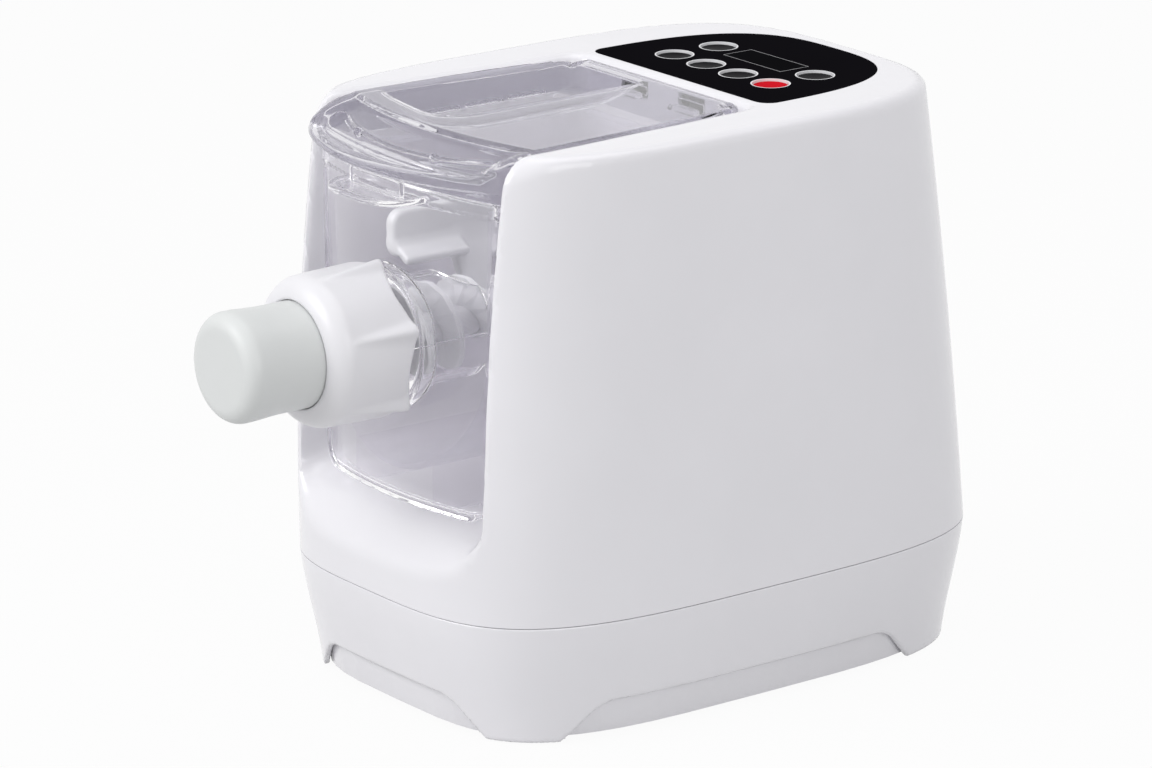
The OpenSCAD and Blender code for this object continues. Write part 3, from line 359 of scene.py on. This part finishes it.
shell_white = plastic("shell_white", (0.805, 0.797, 0.828), 0.22, Coat_Weight=0.25, Coat_Roughness=0.08)
inner_white = plastic("inner_white", (0.70, 0.70, 0.73), 0.45)
nozzle_white = plastic("nozzle_white", (0.76, 0.755, 0.78), 0.34, bump=0.03)
bezel_white = plastic("bezel_white", (0.84, 0.84, 0.86), 0.25)
cap_grey = plastic("cap_grey", (0.655, 0.67, 0.665), 0.42, bump=0.02)
paddle_white = plastic("paddle_white", (0.78, 0.78, 0.80), 0.35)
panel_black = plastic("panel_black", (0.006, 0.0055, 0.007), 0.6, spread=0.1, bump=0.01,
                      Specular_IOR_Level=0.0)
button_black = plastic("button_black", (0.007, 0.0065, 0.008), 0.35, spread=0.1, Specular_IOR_Level=0.01)
rim_grey = plastic("rim_grey", (0.28, 0.28, 0.29), 0.4)
button_red = plastic("button_red", (0.62, 0.012, 0.022), 0.35, spread=0.08, Specular_IOR_Level=0.0)
display_dark = plastic("display_dark", (0.006, 0.006, 0.007), 0.45, spread=0.2, Specular_IOR_Level=0.0)
inner_black = plastic("inner_black", (0.03, 0.03, 0.035), 0.5)
rubber_black = plastic("rubber_black", (0.02, 0.02, 0.022), 0.75, grain=1200.0, bump=0.2)
steel = plastic("steel", (0.60, 0.61, 0.63), 0.28, metallic=1.0)
cast_alloy = plastic("cast_alloy", (0.45, 0.46, 0.47), 0.55, metallic=1.0, bump=0.3)
brass = plastic("brass", (0.62, 0.42, 0.22), 0.30, metallic=1.0)
board_green = plastic("board_green", (0.02, 0.12, 0.05), 0.35)
gear_ivory = plastic("gear_ivory", (0.75, 0.72, 0.62), 0.40)
clear_tint = clear("clear_tint", (0.99, 0.985, 0.998), 0.03, 1.36, 0.12)
lid_tint = clear("lid_tint", (0.765, 0.755, 0.80), 0.03, 1.26, 0.12)
bowl_film = film("bowl_film", (0.985, 0.98, 0.99), (0.82, 0.81, 0.87))

OF_NODE = {
    "base_pan": shell_white, "foot_pads": rubber_black, "base_screws": steel,
    "cord_gland": rubber_black, "control_panel": panel_black, "button_bezels": bezel_white,
    "display_window": display_dark, "display_module": inner_black, "control_board": board_green,
    "board_screws": steel, "tact_switches": inner_black, "lid_switch": inner_black,
    "power_board": board_green, "motor_cradle": steel, "motor_stator": steel,
    "motor_end_bells": cast_alloy, "motor_bearings": steel, "gearbox_case": inner_white,
    "gearbox_cover": inner_white, "gearbox_screws": steel, "shaft_bushes": brass,
    "shaft_seal": rubber_black, "cluster_axle": steel, "drive_shaft": steel,
    "drive_gear": gear_ivory, "cluster_gear": gear_ivory, "rotor_core": brass,
    "rotor_shaft": steel, "motor_pinion": steel, "cooling_fan": inner_black, "lid": lid_tint,
    "bowl": bowl_film, "bowl_bush": inner_white, "front_plate": clear_tint, "nut": nozzle_white,
    "shaping_disc": paddle_white, "outlet_cap": cap_grey, "paddle": paddle_white,
    "auger": paddle_white, "button_power": button_red, "button_start": button_black,
    "button_stop": button_black, "button_mode": button_black, "button_weight": button_black,
    "button_timer": button_black, "housing": shell_white, "base_skirt": shell_white,
}
for node_name, material in OF_NODE.items():
    for spot in nodes[node_name].material_slots:
        spot.material = material


# ------------------------------------------------------------------ housing and skirt
def bay(x, y, z):
    """The open bay: rear wall, flared sides, floor and the scooped ledge in front."""
    back_share = np.clip((y + BAY_MOUTH) / (BAY_BACK + BAY_MOUTH), 0, 1)
    side = np.abs(x) - mix(BAY_HALF_W, BAY_BACK_HALF_W, back_share)
    ledge = (z - BAY_FLOOR + LEDGE_SLOPE * (-LEDGE_START - y)) / math.hypot(1, LEDGE_SLOPE)
    floor = both(z - BAY_FLOOR, ledge, LEDGE_ROUND)
    return both(both(side, -floor, BAY_ROUND), y - BAY_BACK, BAY_CORNER)


def housing(x, y, z):
    """The upper moulding: a tapering squared oval with a slight belly and a softer front edge."""
    t = (z - SEAM_Z) / (BODY_H - SEAM_Z)
    belly = 4 * t * (1 - t)
    front = mix(SEAM_HALF_D, TOP_FRONT, t) + FRONT_BELLY * belly
    rear = mix(SEAM_HALF_D, TOP_REAR, t) + REAR_BELLY * belly
    b, mid = (front + rear) / 2, (rear - front) / 2
    side = squared_oval(x, y, mix(SEAM_HALF_W, TOP_HALF_W, t) + belly, b, mid, SQUARENESS)
    front_share = ease(((mid - y) / b - 0.72) / 0.22)
    outer = both(side, z - BODY_H, mix(TOP_ROUND, FRONT_ROUND, front_share))
    edge = mix(BAY_EDGE, BAY_EDGE_LOW, ease((150 - z) / 40))
    return less(outer, bay(x, y, z), edge)


def arch(u, z, low_end, high_end):
    """An opening between two feet, with leaning ends, from -low_end to high_end at the floor."""
    middle, half = (high_end - low_end) / 2, (high_end + low_end) / 2
    end = (np.abs(u - middle) - half + z * ARCH_LEAN) / math.hypot(1, ARCH_LEAN)
    return both(end, z - ARCH_H, ARCH_ROUND)


def skirt(x, y, z):
    """The lower moulding: a wall that draws in towards the feet, cut by four arches."""
    t = z / SEAM_Z
    s = 0.55 * t + 0.45 * t * t * (3 - 2 * t)
    side = squared_oval(x, y, mix(FOOT_HALF_W, SEAM_HALF_W, s), mix(FOOT_HALF_D, SEAM_HALF_D, s), 0,
                        mix(SQUARENESS + 0.3, SQUARENESS, s))
    wall_only = np.abs(side + WALL / 2) - WALL / 2
    arches = np.minimum(arch(x, z, ARCH_HALF_W, ARCH_HALF_W), arch(y, z, ARCH_FRONT, ARCH_REAR))
    return less(both(wall_only, PAD_LIFT - z, SKIRT_EDGE), arches, SKIRT_EDGE)


SEAM_GAP = 0.2
HOUSING_BOX = (-118, -172, SEAM_Z - 6), (118, 168, BODY_H)

outside, outside_faces = surface_net(housing, *HOUSING_BOX, 2.5)
inside, inside_faces = surface_net(lambda x, y, z: housing(x, y, z) + WALL, *HOUSING_BOX, 5.0)
points = np.concatenate([outside, inside])
faces = np.concatenate([outside_faces, inside_faces[:, ::-1] + len(outside)])
housing_skin = add_mesh("housing_skin", points, faces, "root", shell_white, ["housing"])
cut_flat(housing_skin, (0, 0, SEAM_Z + SEAM_GAP), (0, 0, -1))

PANEL_FRONT, PANEL_REAR, PANEL_HALF_W, PANEL_T = 25.0, 126.0, 70.0, 2.0
PANEL_LOW, POCKET_GAP = BODY_H - PANEL_T, 0.35
WINDOW_HALF_W, WINDOW_FRONT, WINDOW_REAR = 54.0, 42.3, 96.1
HOOK_SLOT_HALF_W, HOOK_SLOT_LOW, HOOK_SLOT_H = 10.3, LID_PIVOT_Z - 9.8, 8.6
VENTS, VENT_PITCH, VENT_LOW, VENT_HIGH, VENT_R = 11, 9.0, 73.4, 118.6, 1.6


def panel_outline(grow, count=64, corner=8.0):
    """The panel's plan: straight with rounded corners at the front, a squared-off oval behind."""
    turns = np.linspace(0, math.pi, count)
    oval = [((PANEL_HALF_W + grow) * math.copysign(abs(math.cos(t)) ** (2 / 3), math.cos(t)),
             PANEL_FRONT - grow + (PANEL_REAR - PANEL_FRONT + 2 * grow) * math.sin(t) ** (2 / 3))
            for t in turns]
    mid_x, mid_y = PANEL_HALF_W - corner, PANEL_FRONT + corner
    r = corner + grow
    arc = [(mid_x + r * math.cos(t), mid_y - r * math.sin(t)) for t in np.linspace(math.pi / 2, 0, 9)]
    return arc + [p for p in oval if p[1] > mid_y + 1] + [(-x, y) for x, y in arc[::-1]]


def slot_outline(u, low, high, r, count=6):
    """Upright slot with round ends."""
    arc = [math.pi * i / count for i in range(count + 1)]
    return ([(u + r * math.cos(t), high - r + r * math.sin(t)) for t in arc]
            + [(u - r * math.cos(t), low + r - r * math.sin(t)) for t in arc])


def box_outline(u0, u1, v0, v1):
    """Rectangle from u0, v0 to u1, v1."""
    return [(u0, v0), (u1, v0), (u1, v1), (u0, v1)]


def round_outline(u, v, r, count=48):
    """Circle of radius r about u, v."""
    turns = np.linspace(0, 2 * math.pi, count, endpoint=False)
    return [(u + r * math.cos(t), v + r * math.sin(t)) for t in turns]


window = box_outline(-WINDOW_HALF_W, WINDOW_HALF_W, WINDOW_FRONT, WINDOW_REAR)
hook_slots = [box_outline(x - HOOK_SLOT_HALF_W, x + HOOK_SLOT_HALF_W, HOOK_SLOT_LOW,
                          HOOK_SLOT_LOW + HOOK_SLOT_H) for x in (-HOOK_X, HOOK_X)]
vents = [slot_outline((i - VENTS // 2) * VENT_PITCH, VENT_LOW, VENT_HIGH, VENT_R) for i in range(VENTS)]
hollow_out(housing_skin, [
    prism("pocket", panel_outline(POCKET_GAP), PANEL_LOW, BODY_H + 5),
    prism("window", window, BODY_H - 12, BODY_H + 3),
    *[prism(f"hook_slot_{i}", slot, BAY_BACK - 3, BAY_BACK + 7, 1) for i, slot in enumerate(hook_slots)],
    *[prism(f"vent_{i}", vent, 130, 180, 1) for i, vent in enumerate(vents)],
])

BUTTONS = (37.95, 54.1), (-37.95, 54.1), (-12.65, 54.1), (12.65, 54.1), (-38, 82.3), (38, 82.3)
BUTTON_HOLE_R = 9.95
DISPLAY_HALF_W, DISPLAY_FRONT, DISPLAY_REAR, RIM_W = 22.2, 73.2, 90.6, 0.4


def display_outline(grow):
    """The display's plan, widened by grow."""
    return box_outline(-DISPLAY_HALF_W - grow, DISPLAY_HALF_W + grow, DISPLAY_FRONT - grow,
                       DISPLAY_REAR + grow)


_, points, faces = prism("panel", panel_outline(0), PANEL_LOW, BODY_H)
panel_face = add_mesh("panel_face", points, faces, "root", panel_black, ["control_panel"])
hollow_out(panel_face, [
    *[prism(f"hole_{i}", round_outline(x, y, BUTTON_HOLE_R), PANEL_LOW - 1, BODY_H + 1)
      for i, (x, y) in enumerate(BUTTONS)],
    prism("opening", display_outline(RIM_W), PANEL_LOW - 1, BODY_H + 1),
])
_, points, faces = prism("rim", display_outline(RIM_W), PANEL_LOW, BODY_H)
display_rim = add_mesh("display_rim", points, faces, "root", rim_grey)
hollow_out(display_rim, [prism("glass", display_outline(0), PANEL_LOW - 1, BODY_H + 1)])

points, faces = surface_net(skirt, (-118, -168, 0), (118, 168, SEAM_Z + 4), 1.5)
skirt_skin = add_mesh("skirt_skin", points, faces, "root", shell_white, ["base_skirt"])
cut_flat(skirt_skin, (0, 0, SEAM_Z - SEAM_GAP), (0, 0, 1))


# ------------------------------------------------------------------ clear front plate
PLATE_FRONT, PLATE_CURVE, PLATE_T = 150.0, 246.0, 4.0
PLATE_HALF_W, PLATE_LOW_HALF_W, PLATE_LOW, PLATE_TOP = 69.6, 64.2, 107.5, 266.0
PLATE_LEAN, PLATE_MID_Z, PLATE_WIDEST_Z = math.radians(0.75), 183.0, 250.0
PLATE_CORNER, PLATE_RIM_W, PLATE_RIM_TOP = 12.0, 2.6, 256.0
LID_SEAT_Z, LID_SEAT_DEPTH = 258.4, 0.5
BARREL_R, BARREL_BORE_R, BARREL_REAR = 27.5, 24.0, 107.0
FEED_R, DRAIN_R = 17.0, 7.0
BOSS_R, BOSS_FRONT, FLANGE_OUT, FLANGE_T = 33.0, 185.0, 2.5, 5.0
SHELF_HALF_W, SHELF_FRONT = 30.0, 172.5
TONGUE_HALF_W, TONGUE_REAR, TONGUE_T = 21.0, 4.5, 2.5


def barrel_distance(x, z):
    """Distance from the barrel's axis."""
    return np.hypot(x, z - FEED_Z)


def between(value, low, high):
    """Distance to the slab from low to high."""
    return np.abs(value - (low + high) / 2) - (high - low) / 2


def front_plate(x, y, z):
    """Curved sheet with a rim behind, the barrel, the outlet's boss, a layered shelf and its tongue."""
    leaned = y - math.sin(PLATE_LEAN) * (z - PLATE_MID_Z)
    curve = np.hypot(x, leaned - (PLATE_CURVE - PLATE_FRONT)) - PLATE_CURVE
    curve = curve + LID_SEAT_DEPTH * (1 - ease((z - LID_SEAT_Z) / 0.8))
    widening = np.clip((z - PLATE_LOW) / (PLATE_WIDEST_Z - PLATE_LOW), 0, 1)
    half_w = mix(PLATE_LOW_HALF_W, PLATE_HALF_W, widening)
    outline = both(np.abs(x) - half_w, PLATE_LOW - z, PLATE_CORNER)
    outline = both(outline, z - PLATE_TOP, 1.0)
    sheet = both(outline, both(curve, -curve - PLATE_T, 1.0), 1.2)
    rim = both(between(outline, -PLATE_RIM_W, 0), both(curve + 2, -curve - PLATE_T - 5.5, 0.8), 0.8)
    sheet = either(sheet, both(rim, z - PLATE_RIM_TOP, 0.8), 1.5)
    r = barrel_distance(x, z)
    barrel = both(r - BARREL_R, between(y, -BOSS_FRONT, -BARREL_REAR), 1.0)
    boss = both(r - BOSS_R, between(y, -BOSS_FRONT, 2 - PLATE_FRONT), 0.8)
    flange_y = between(y, -PLATE_FRONT - FLANGE_T, 2 - PLATE_FRONT)
    flange = both(r - BOSS_R - FLANGE_OUT, flange_y, 0.8)
    body = either(either(sheet, barrel, 3.0), either(boss, flange, 0.8), 1.5)
    body = less(body, both(r - BARREL_BORE_R, -y - BOSS_FRONT - 5, 0.1), 0.6)
    feed = both(np.hypot(x, y + BARREL_REAR - 4) - FEED_R, FEED_Z - z, 0.5)
    drain = both(np.hypot(x, y + BARREL_REAR + 17) - DRAIN_R, z - FEED_Z, 0.5)
    body = less(less(body, feed, 0.8), drain, 0.8)
    depth = SHELF_FRONT - PLATE_FRONT + 2
    rim_in = squared_oval(x, y, SHELF_HALF_W, depth, 2 - PLATE_FRONT, 3.0)
    top = PLATE_TOP - 3 - 0.8 * ease((-2.4 - rim_in) / 0.8) - 0.5 * ease((-6.0 - rim_in) / 0.8)
    low = PLATE_TOP - 6 - 0.8 * ease((-3.4 - rim_in) / 4.0)
    shelf = both(both(rim_in, y + PLATE_FRONT - 2, 0.3), both(z - top, low - z, 0.6), 0.9)
    tongue_y = -PLATE_FRONT - TONGUE_REAR
    tongue = both(both(between(x, -TONGUE_HALF_W, TONGUE_HALF_W), between(y, tongue_y - TONGUE_T, tongue_y),
                       0.6), between(z, PLATE_TOP - 4, PLATE_TOP + 4), 1.0)
    return either(body, either(shelf, tongue, 0.8), 0.6)


points, faces = surface_net(front_plate, (-71, -174, 106), (71, -104, 271), 1.0)
add_mesh("front_plate_clear", points, faces, "front_plate", clear_tint, ["front_plate"])


# ------------------------------------------------------------------ clear lid
LID_T, LID_GAP, LID_LOW = 3.0, 0.8, 266.7
LIP_FRONT, LIP_LOW, LIP_HALF_W, LIP_WING = 165.5, 272.0, 79.0, 142.2
LIP_SAG = LIP_FRONT - 140.8
LIP_R = (LIP_HALF_W**2 + LIP_SAG**2) / 2 / LIP_SAG
STEP_Y, STEP_R = 128.0, PLATE_CURVE
TROUGH_FLOOR, TROUGH_FAR, TROUGH_NEAR, TROUGH_REAR = BODY_H - 8.5, -69.0, -3.0, 8.0
TROUGH_RISE_X, TROUGH_SIDE_SLOPE, TROUGH_REAR_SLOPE = -41.0, 0.246, 0.341
LID_SLOTS, LID_SLOT_PITCH, LID_SLOT_START, LID_SLOT_L = 3, 26.0, -98.0, 22.0
LID_SLOT_NEAR, LID_SLOT_FAR = -41.0, -44.0
NUB_X, NUB_Y, NUB_Z, NUB_R = 31.0, -144.6, 282.4, 2.2
HOOK_R, HOOK_HALF_T, HOOK_HALF_W, HOOK_MID_TURN, HOOK_HALF_TURN = 8.0, 1.5, 10.0, -66.0, 48.0
LID_BACK_HALF_W = BAY_BACK_HALF_W - LID_GAP - BAY_CORNER - 0.5


def bay_half_w(y):
    """Half the bay's width, which narrows from its mouth to its back."""
    return mix(BAY_HALF_W, BAY_BACK_HALF_W, np.clip((y + BAY_MOUTH) / (BAY_BACK + BAY_MOUTH), 0, 1))


def step_line(x):
    """Where the lid's flat ends and its slope begins."""
    return -STEP_Y + STEP_R - np.sqrt(STEP_R**2 - np.minimum(np.abs(x), 80) ** 2)


def lid_top(x, y):
    """Height of the lid: flat, a curved step, and the slope with its long recess down to the lip."""
    step = step_line(x)
    rim_y = LIP_R - LIP_FRONT - np.sqrt(np.maximum(LIP_R**2 - x**2, 1))
    ahead = step - y
    share = np.clip(ahead / np.maximum(step - rim_y, 1), 0, 1)
    slope = BODY_H - 2.8 - 8.7 * (1 - (1 - share) ** 1.435)
    slope = mix(slope, BODY_H - 0.8 - 10.7 * share**2.2, ease((np.abs(x) - 58) / 14))
    inward = LIP_R - np.hypot(x, y - (LIP_R - LIP_FRONT))
    field = both(np.abs(inward - 12.0) - 6.6, np.abs(x) - 64, 6.0)
    slope = slope - 1.3 * ease((0.6 - field) / 1.8) + 0.5 * ease(1 - np.abs(field - 1.4) / 1.6)
    slope = slope + 0.5 * ease(1 - np.abs(inward - 2.2) / 1.8)
    return mix(BODY_H, slope, ease((ahead + 0.6) / 3.2))


def trough(x, y, z):
    """The pouring trough's hollow, whose floor rises to the far side and to the rear."""
    rise = TROUGH_FLOOR + np.maximum(TROUGH_RISE_X - x, 0) * TROUGH_SIDE_SLOPE
    floor = (rise - z) * 0.971
    rear = (TROUGH_FLOOR + (y + 14) * TROUGH_REAR_SLOPE - z) * 0.947
    step = step_line(x)
    front = (step + 19 - (z - TROUGH_FLOOR) * 0.6 - y) * 0.86
    sides = both(both(x - TROUGH_NEAR, front, 17.0), TROUGH_FAR - x, 3.0)
    sides = both(sides, y - TROUGH_REAR, 4.0)
    return both(both(sides, rear, 3.0), floor, 1.8)


def lid(x, y, z):
    """Thin shell with its trough, three slots, front lip, two nubs and two hinge hooks."""
    side = np.abs(x) - bay_half_w(y) + LID_GAP
    rear = both(y - (LID_PIVOT_Y - 5.4), np.abs(x) - 200, 0.1)
    back = both(np.abs(x) - LID_BACK_HALF_W, y - (LID_PIVOT_Y + 4.2), 1.0)
    plan = either(both(side, rear, 6.0), both(back, -60 - y, 0.1), 1.0)
    lip = np.hypot(x, y - (LIP_R - LIP_FRONT)) - LIP_R
    wings = both(np.abs(x) - LIP_HALF_W, y + LIP_WING, 0.5)
    outline = both(np.minimum(plan, wings), lip, 5.0)
    top = (z - lid_top(x, y)) * 0.93
    curve = np.hypot(x, y - (PLATE_CURVE - PLATE_FRONT + 0.7)) - PLATE_CURVE
    ledges = LIP_LOW - z + 1.0 * ease((lip + 3.2) / 0.8) + 1.0 * ease((lip + 1.6) / 0.8)
    under = either(ledges, both(LID_LOW - z, curve, 0.4), 0.8)
    outer = both(both(outline, top, np.where(y > 0, 4.0, 1.6)), under, 0.7)
    hollow = both(both(plan + 2.5, z - lid_top(x, y) + LID_T, 1.5), curve + 2.5, 1.5)
    well = trough(x, y, z)
    hollow = less(hollow, well - 2.5, 1.0)
    shape = less(less(outer, hollow, 0.6), well, 0.7)
    for i in range(LID_SLOTS):
        start = LID_SLOT_START + i * LID_SLOT_PITCH
        slot = both(between(x, LID_SLOT_FAR, LID_SLOT_NEAR), between(y, start, start + LID_SLOT_L), 1.3)
        shape = less(shape, slot, 0.5)
    nub = np.sqrt((np.abs(x) - NUB_X) ** 2 + (y - NUB_Y) ** 2 + (z - NUB_Z) ** 2) - NUB_R
    shape = either(shape, nub, 0.6)
    r = np.hypot(y - LID_PIVOT_Y, z - LID_PIVOT_Z)
    turn = np.degrees(np.arctan2(z - LID_PIVOT_Z, y - LID_PIVOT_Y))
    ends = np.radians(np.abs(turn - HOOK_MID_TURN) - HOOK_HALF_TURN) * HOOK_R
    arc = both(np.abs(r - HOOK_R) - HOOK_HALF_T, ends, 0.8)
    hook = both(arc, np.abs(np.abs(x) - HOOK_X) - HOOK_HALF_W, 0.8)
    return either(shape, hook, 0.8)


points, faces = surface_net(lid, (-80, -167, 265), (80, 24, 291), 1.0)
add_mesh("lid_clear", points, faces, "lid", lid_tint, ["lid"])


# ------------------------------------------------------------------ nut, cap and paddle
NUT_REAR, NUT_FRONT, NUT_RIDGE_R, NUT_BODY_R = 160.0, 205.0, 42.4, 38.0
NUT_RIDGES, NUT_PHASE, NUT_HOLE_R, NUT_FACE_T = 6, math.radians(18.5), 27.5, 12.0
NUT_RIDGE_L, NUT_TAPER, NUT_SHOULDER, NUT_LIP = 35.0, 0.84, 11.0, 1.1
CAP_R, CAP_FLARE, CAP_REAR, CAP_FRONT, SPIGOT_R = 26.1, 0.9, 193.0, 247.5, 21.46
HUB_R, HUB_FRONT, HUB_REAR, JOURNAL_R, JOURNAL_FRONT = 10.0, -100.0, 15.0, 12.0, 4.0
ARM_L, ARM_REACH = 26.0, 46.0
BLADE_X, BLADE_LOW, BLADE_HIGH, BLADE_HALF_T = 21.5, 30.0, 54.5, 3.5
DRIVE_FLAT, DRIVE_END, AUGER_SQUARE, AUGER_END = 6.3, -9.0, 4.7, -86.0


def nut(x, y, z):
    """Screw-on nut: six ridges that run out towards a rounded shoulder, and scallops between them."""
    r, turn = barrel_distance(x, z), np.arctan2(z - FEED_Z, x)
    along, length = -y - NUT_REAR, NUT_FRONT - NUT_REAR
    wave = (1 + np.cos(NUT_RIDGES * (turn - NUT_PHASE))) / 2
    reach = np.clip(1 - along / NUT_RIDGE_L, 0, 1)
    crest = wave ** mix(34.0, 9.0, reach) * reach**0.8
    skin = NUT_BODY_R - NUT_TAPER * (1 - reach) + (NUT_RIDGE_R - NUT_BODY_R) * crest
    d = both((r - skin) * 0.93, along - length, NUT_SHOULDER)
    d = both(d, 3.4 * (1 - wave) ** 1.2 - along, 1.3)
    d = less(d, r - NUT_HOLE_R + NUT_LIP * ease((along - 28) / 6), 1.0)
    return less(d, both(r - BOSS_R - 0.06, along - (length - NUT_FACE_T), 0.5), 0.8)


def outlet_cap(x, y, z):
    """Tube with a closed round front, which flares slightly and slips on the disc's spigot."""
    r, along = barrel_distance(x, z), -y - CAP_REAR
    length = CAP_FRONT - CAP_REAR
    skin = CAP_R + CAP_FLARE * ease((along - 26) / 20)
    d = both(both(r - skin, along - length, 8.0), -along, 0.6)
    return less(d, both(r - SPIGOT_R, along - length + 3.4, 3.0), 0.6)


def bar(x, y, a, b, r):
    """Distance to the line from a to b, thickened by r."""
    along = np.clip(((x - a[0]) * (b[0] - a[0]) + (y - a[1]) * (b[1] - a[1]))
                    / ((b[0] - a[0]) ** 2 + (b[1] - a[1]) ** 2), 0, 1)
    return np.hypot(x - mix(a[0], b[0], along), y - mix(a[1], b[1], along)) - r


def paddle(x, y, z):
    """Hub and two blades: each stands upright at its arm's end, with a scraper that dips inwards."""
    r = barrel_distance(x, z)
    hub = both(r - HUB_R, between(y, HUB_FRONT, HUB_REAR), 1.0)
    journal = both(r - JOURNAL_R, between(y, JOURNAL_FRONT, HUB_REAR), 0.8)
    shape = either(hub, journal, 0.5)
    for angle, sign, low, high, arm_low in ((120, -1, -132, -73, -99), (-60, 1, -62, 3, -62)):
        cos, sin = math.cos(math.radians(angle)), math.sin(math.radians(angle))
        out, across = x * cos + (z - FEED_Z) * sin, (z - FEED_Z) * cos - x * sin
        arm = both(between(out, 0, ARM_REACH), between(y, arm_low, arm_low + ARM_L), 3.0)
        shape = either(shape, both(arm, np.abs(across) - BLADE_HALF_T, 2.0), 2.5)
        aside, up = sign * x, -sign * (z - FEED_Z)
        field = both(between(up, BLADE_LOW, BLADE_HIGH), between(y, low, high), 7.0)
        shape = either(shape, both(field, np.abs(aside - BLADE_X) - BLADE_HALF_T, 2.0), 3.0)
        scraper = both(bar(aside, up, (BLADE_X, 38), (10, 31.5), 2.2), between(y, low + 1, low + 38), 1.5)
        shape = either(shape, scraper, 3.0)
    turn = np.arctan2(z - FEED_Z, x)
    hexagon = r * np.cos((turn + math.pi / 6) % (math.pi / 3) - math.pi / 6) - DRIVE_FLAT
    shape = less(shape, both(hexagon, DRIVE_END - y, 0.2), 0.4)
    square = np.maximum(np.abs(x), np.abs(z - FEED_Z)) - AUGER_SQUARE
    return less(shape, both(square, y - AUGER_END, 0.2), 0.4)


points, faces = surface_net(nut, (-44, -206, 145), (44, -159, 233), 0.9)
add_mesh("nut_ribbed", points, faces, "nut", nozzle_white, ["nut"])
points, faces = surface_net(outlet_cap, (-28, -248.5, 161), (28, -192, 217), 1.2)
add_mesh("outlet_cap_smooth", points, faces, "cap", cap_grey, ["outlet_cap"])
points, faces = surface_net(paddle, (-62, -134, 127), (62, 17, 251), 1.3)
add_mesh("paddle_moulded", points, faces, "mixer", paddle_white, ["paddle"])


# ------------------------------------------------------------------ stage, light and camera
FLOOR_GREY, FLOOR_WHITE_SHARE, FLOOR_HALF = 0.60, 0.95, 6000
WORLD_LIGHT = 0.56


def shaded(name):
    """Material with an empty node tree."""
    material = bpy.data.materials.new(name)
    material.use_nodes = True
    tree = material.node_tree
    tree.nodes.clear()
    return material, tree


def white_for_camera(tree):
    """1 for camera, glossy and transmission rays, 0 for light."""
    path = tree.nodes.new("ShaderNodeLightPath")
    total = path.outputs["Is Camera Ray"]
    for other in ("Is Glossy Ray", "Is Transmission Ray"):
        total = maths(tree, "MAXIMUM", total, path.outputs[other])
    return total


def make_floor():
    material, tree = shaded("floor")
    diffuse = coloured(tree, "ShaderNodeBsdfDiffuse", (FLOOR_GREY,) * 3)
    glow = coloured(tree, "ShaderNodeEmission", (1, 1, 1))
    glow.inputs["Strength"].default_value = 1.0
    share = maths(tree, "MULTIPLY", white_for_camera(tree), FLOOR_WHITE_SHARE)
    out = tree.nodes.new("ShaderNodeOutputMaterial")
    tree.links.new(blended(tree, share, diffuse.outputs[0], glow.outputs[0]), out.inputs["Surface"])
    corners = [(-FLOOR_HALF, -FLOOR_HALF), (FLOOR_HALF, -FLOOR_HALF), (FLOOR_HALF, FLOOR_HALF),
               (-FLOOR_HALF, FLOOR_HALF)]
    mesh = bpy.data.meshes.new("floor")
    mesh.from_pydata([Vector((x, y, 0)) * MM for x, y in corners], [], [(0, 1, 2, 3)])
    mesh.materials.append(material)
    floor = bpy.data.objects.new("floor", mesh)
    bpy.context.scene.collection.objects.link(floor)


def make_world(light):
    world = bpy.data.worlds.new("studio")
    bpy.context.scene.world = world
    world.use_nodes = True
    tree = world.node_tree
    tree.nodes.clear()
    fill = coloured(tree, "ShaderNodeBackground", (0.985, 0.985, 1.0))
    fill.inputs["Strength"].default_value = light
    plain = coloured(tree, "ShaderNodeBackground", (1, 1, 1))
    plain.inputs["Strength"].default_value = 1.0
    out = tree.nodes.new("ShaderNodeOutputWorld")
    mixed = blended(tree, white_for_camera(tree), fill.outputs[0], plain.outputs[0])
    tree.links.new(mixed, out.inputs["Surface"])


def softbox(name, place, target, size, power):
    """Area lamp at place, facing target, both in millimetres."""
    lamp = bpy.data.lights.new(name, "AREA")
    lamp.shape = "RECTANGLE"
    lamp.size, lamp.size_y = size[0] * MM, size[1] * MM
    lamp.energy = power
    holder = bpy.data.objects.new(name, lamp)
    holder.location = Vector(place) * MM
    aim = (Vector(target) - Vector(place)).to_track_quat("-Z", "Y")
    holder.rotation_euler = aim.to_euler()
    bpy.context.scene.collection.objects.link(holder)


CAMERA_AT = Vector((2185.19, -1702.67, 975.33))
CAMERA_AZIMUTH, CAMERA_ELEVATION = 52.68, 16.84
CAMERA_LENS, SENSOR_W = 182.0, 36.0


def make_camera():
    azimuth, elevation = math.radians(CAMERA_AZIMUTH), math.radians(CAMERA_ELEVATION)
    ahead = Vector((-math.sin(azimuth) * math.cos(elevation), math.cos(azimuth) * math.cos(elevation),
                    -math.sin(elevation)))
    data = bpy.data.cameras.new("camera")
    data.lens, data.sensor_width = CAMERA_LENS, SENSOR_W
    data.clip_start, data.clip_end = 0.05, 50
    camera = bpy.data.objects.new("camera", data)
    camera.location = CAMERA_AT * MM
    camera.rotation_euler = ahead.to_track_quat("-Z", "Y").to_euler()
    bpy.context.scene.collection.objects.link(camera)
    bpy.context.scene.camera = camera


make_floor()
make_world(WORLD_LIGHT)
softbox("key", (-500, -1900, 1300), (0, 0, 150), (1400, 1100), 26)
softbox("fill", (1900, -350, 800), (0, 0, 150), (1000, 1000), 7.6)
softbox("top", (200, 200, 1900), (0, 0, 200), (1500, 1500), 8)
make_camera()
# Lid, plate and bowl are nested walls of two faces each, more than the eight that light passes
# as a default.
bpy.context.scene.cycles.transparent_max_bounces = 32
bpy.context.scene.view_settings.view_transform = "Standard"
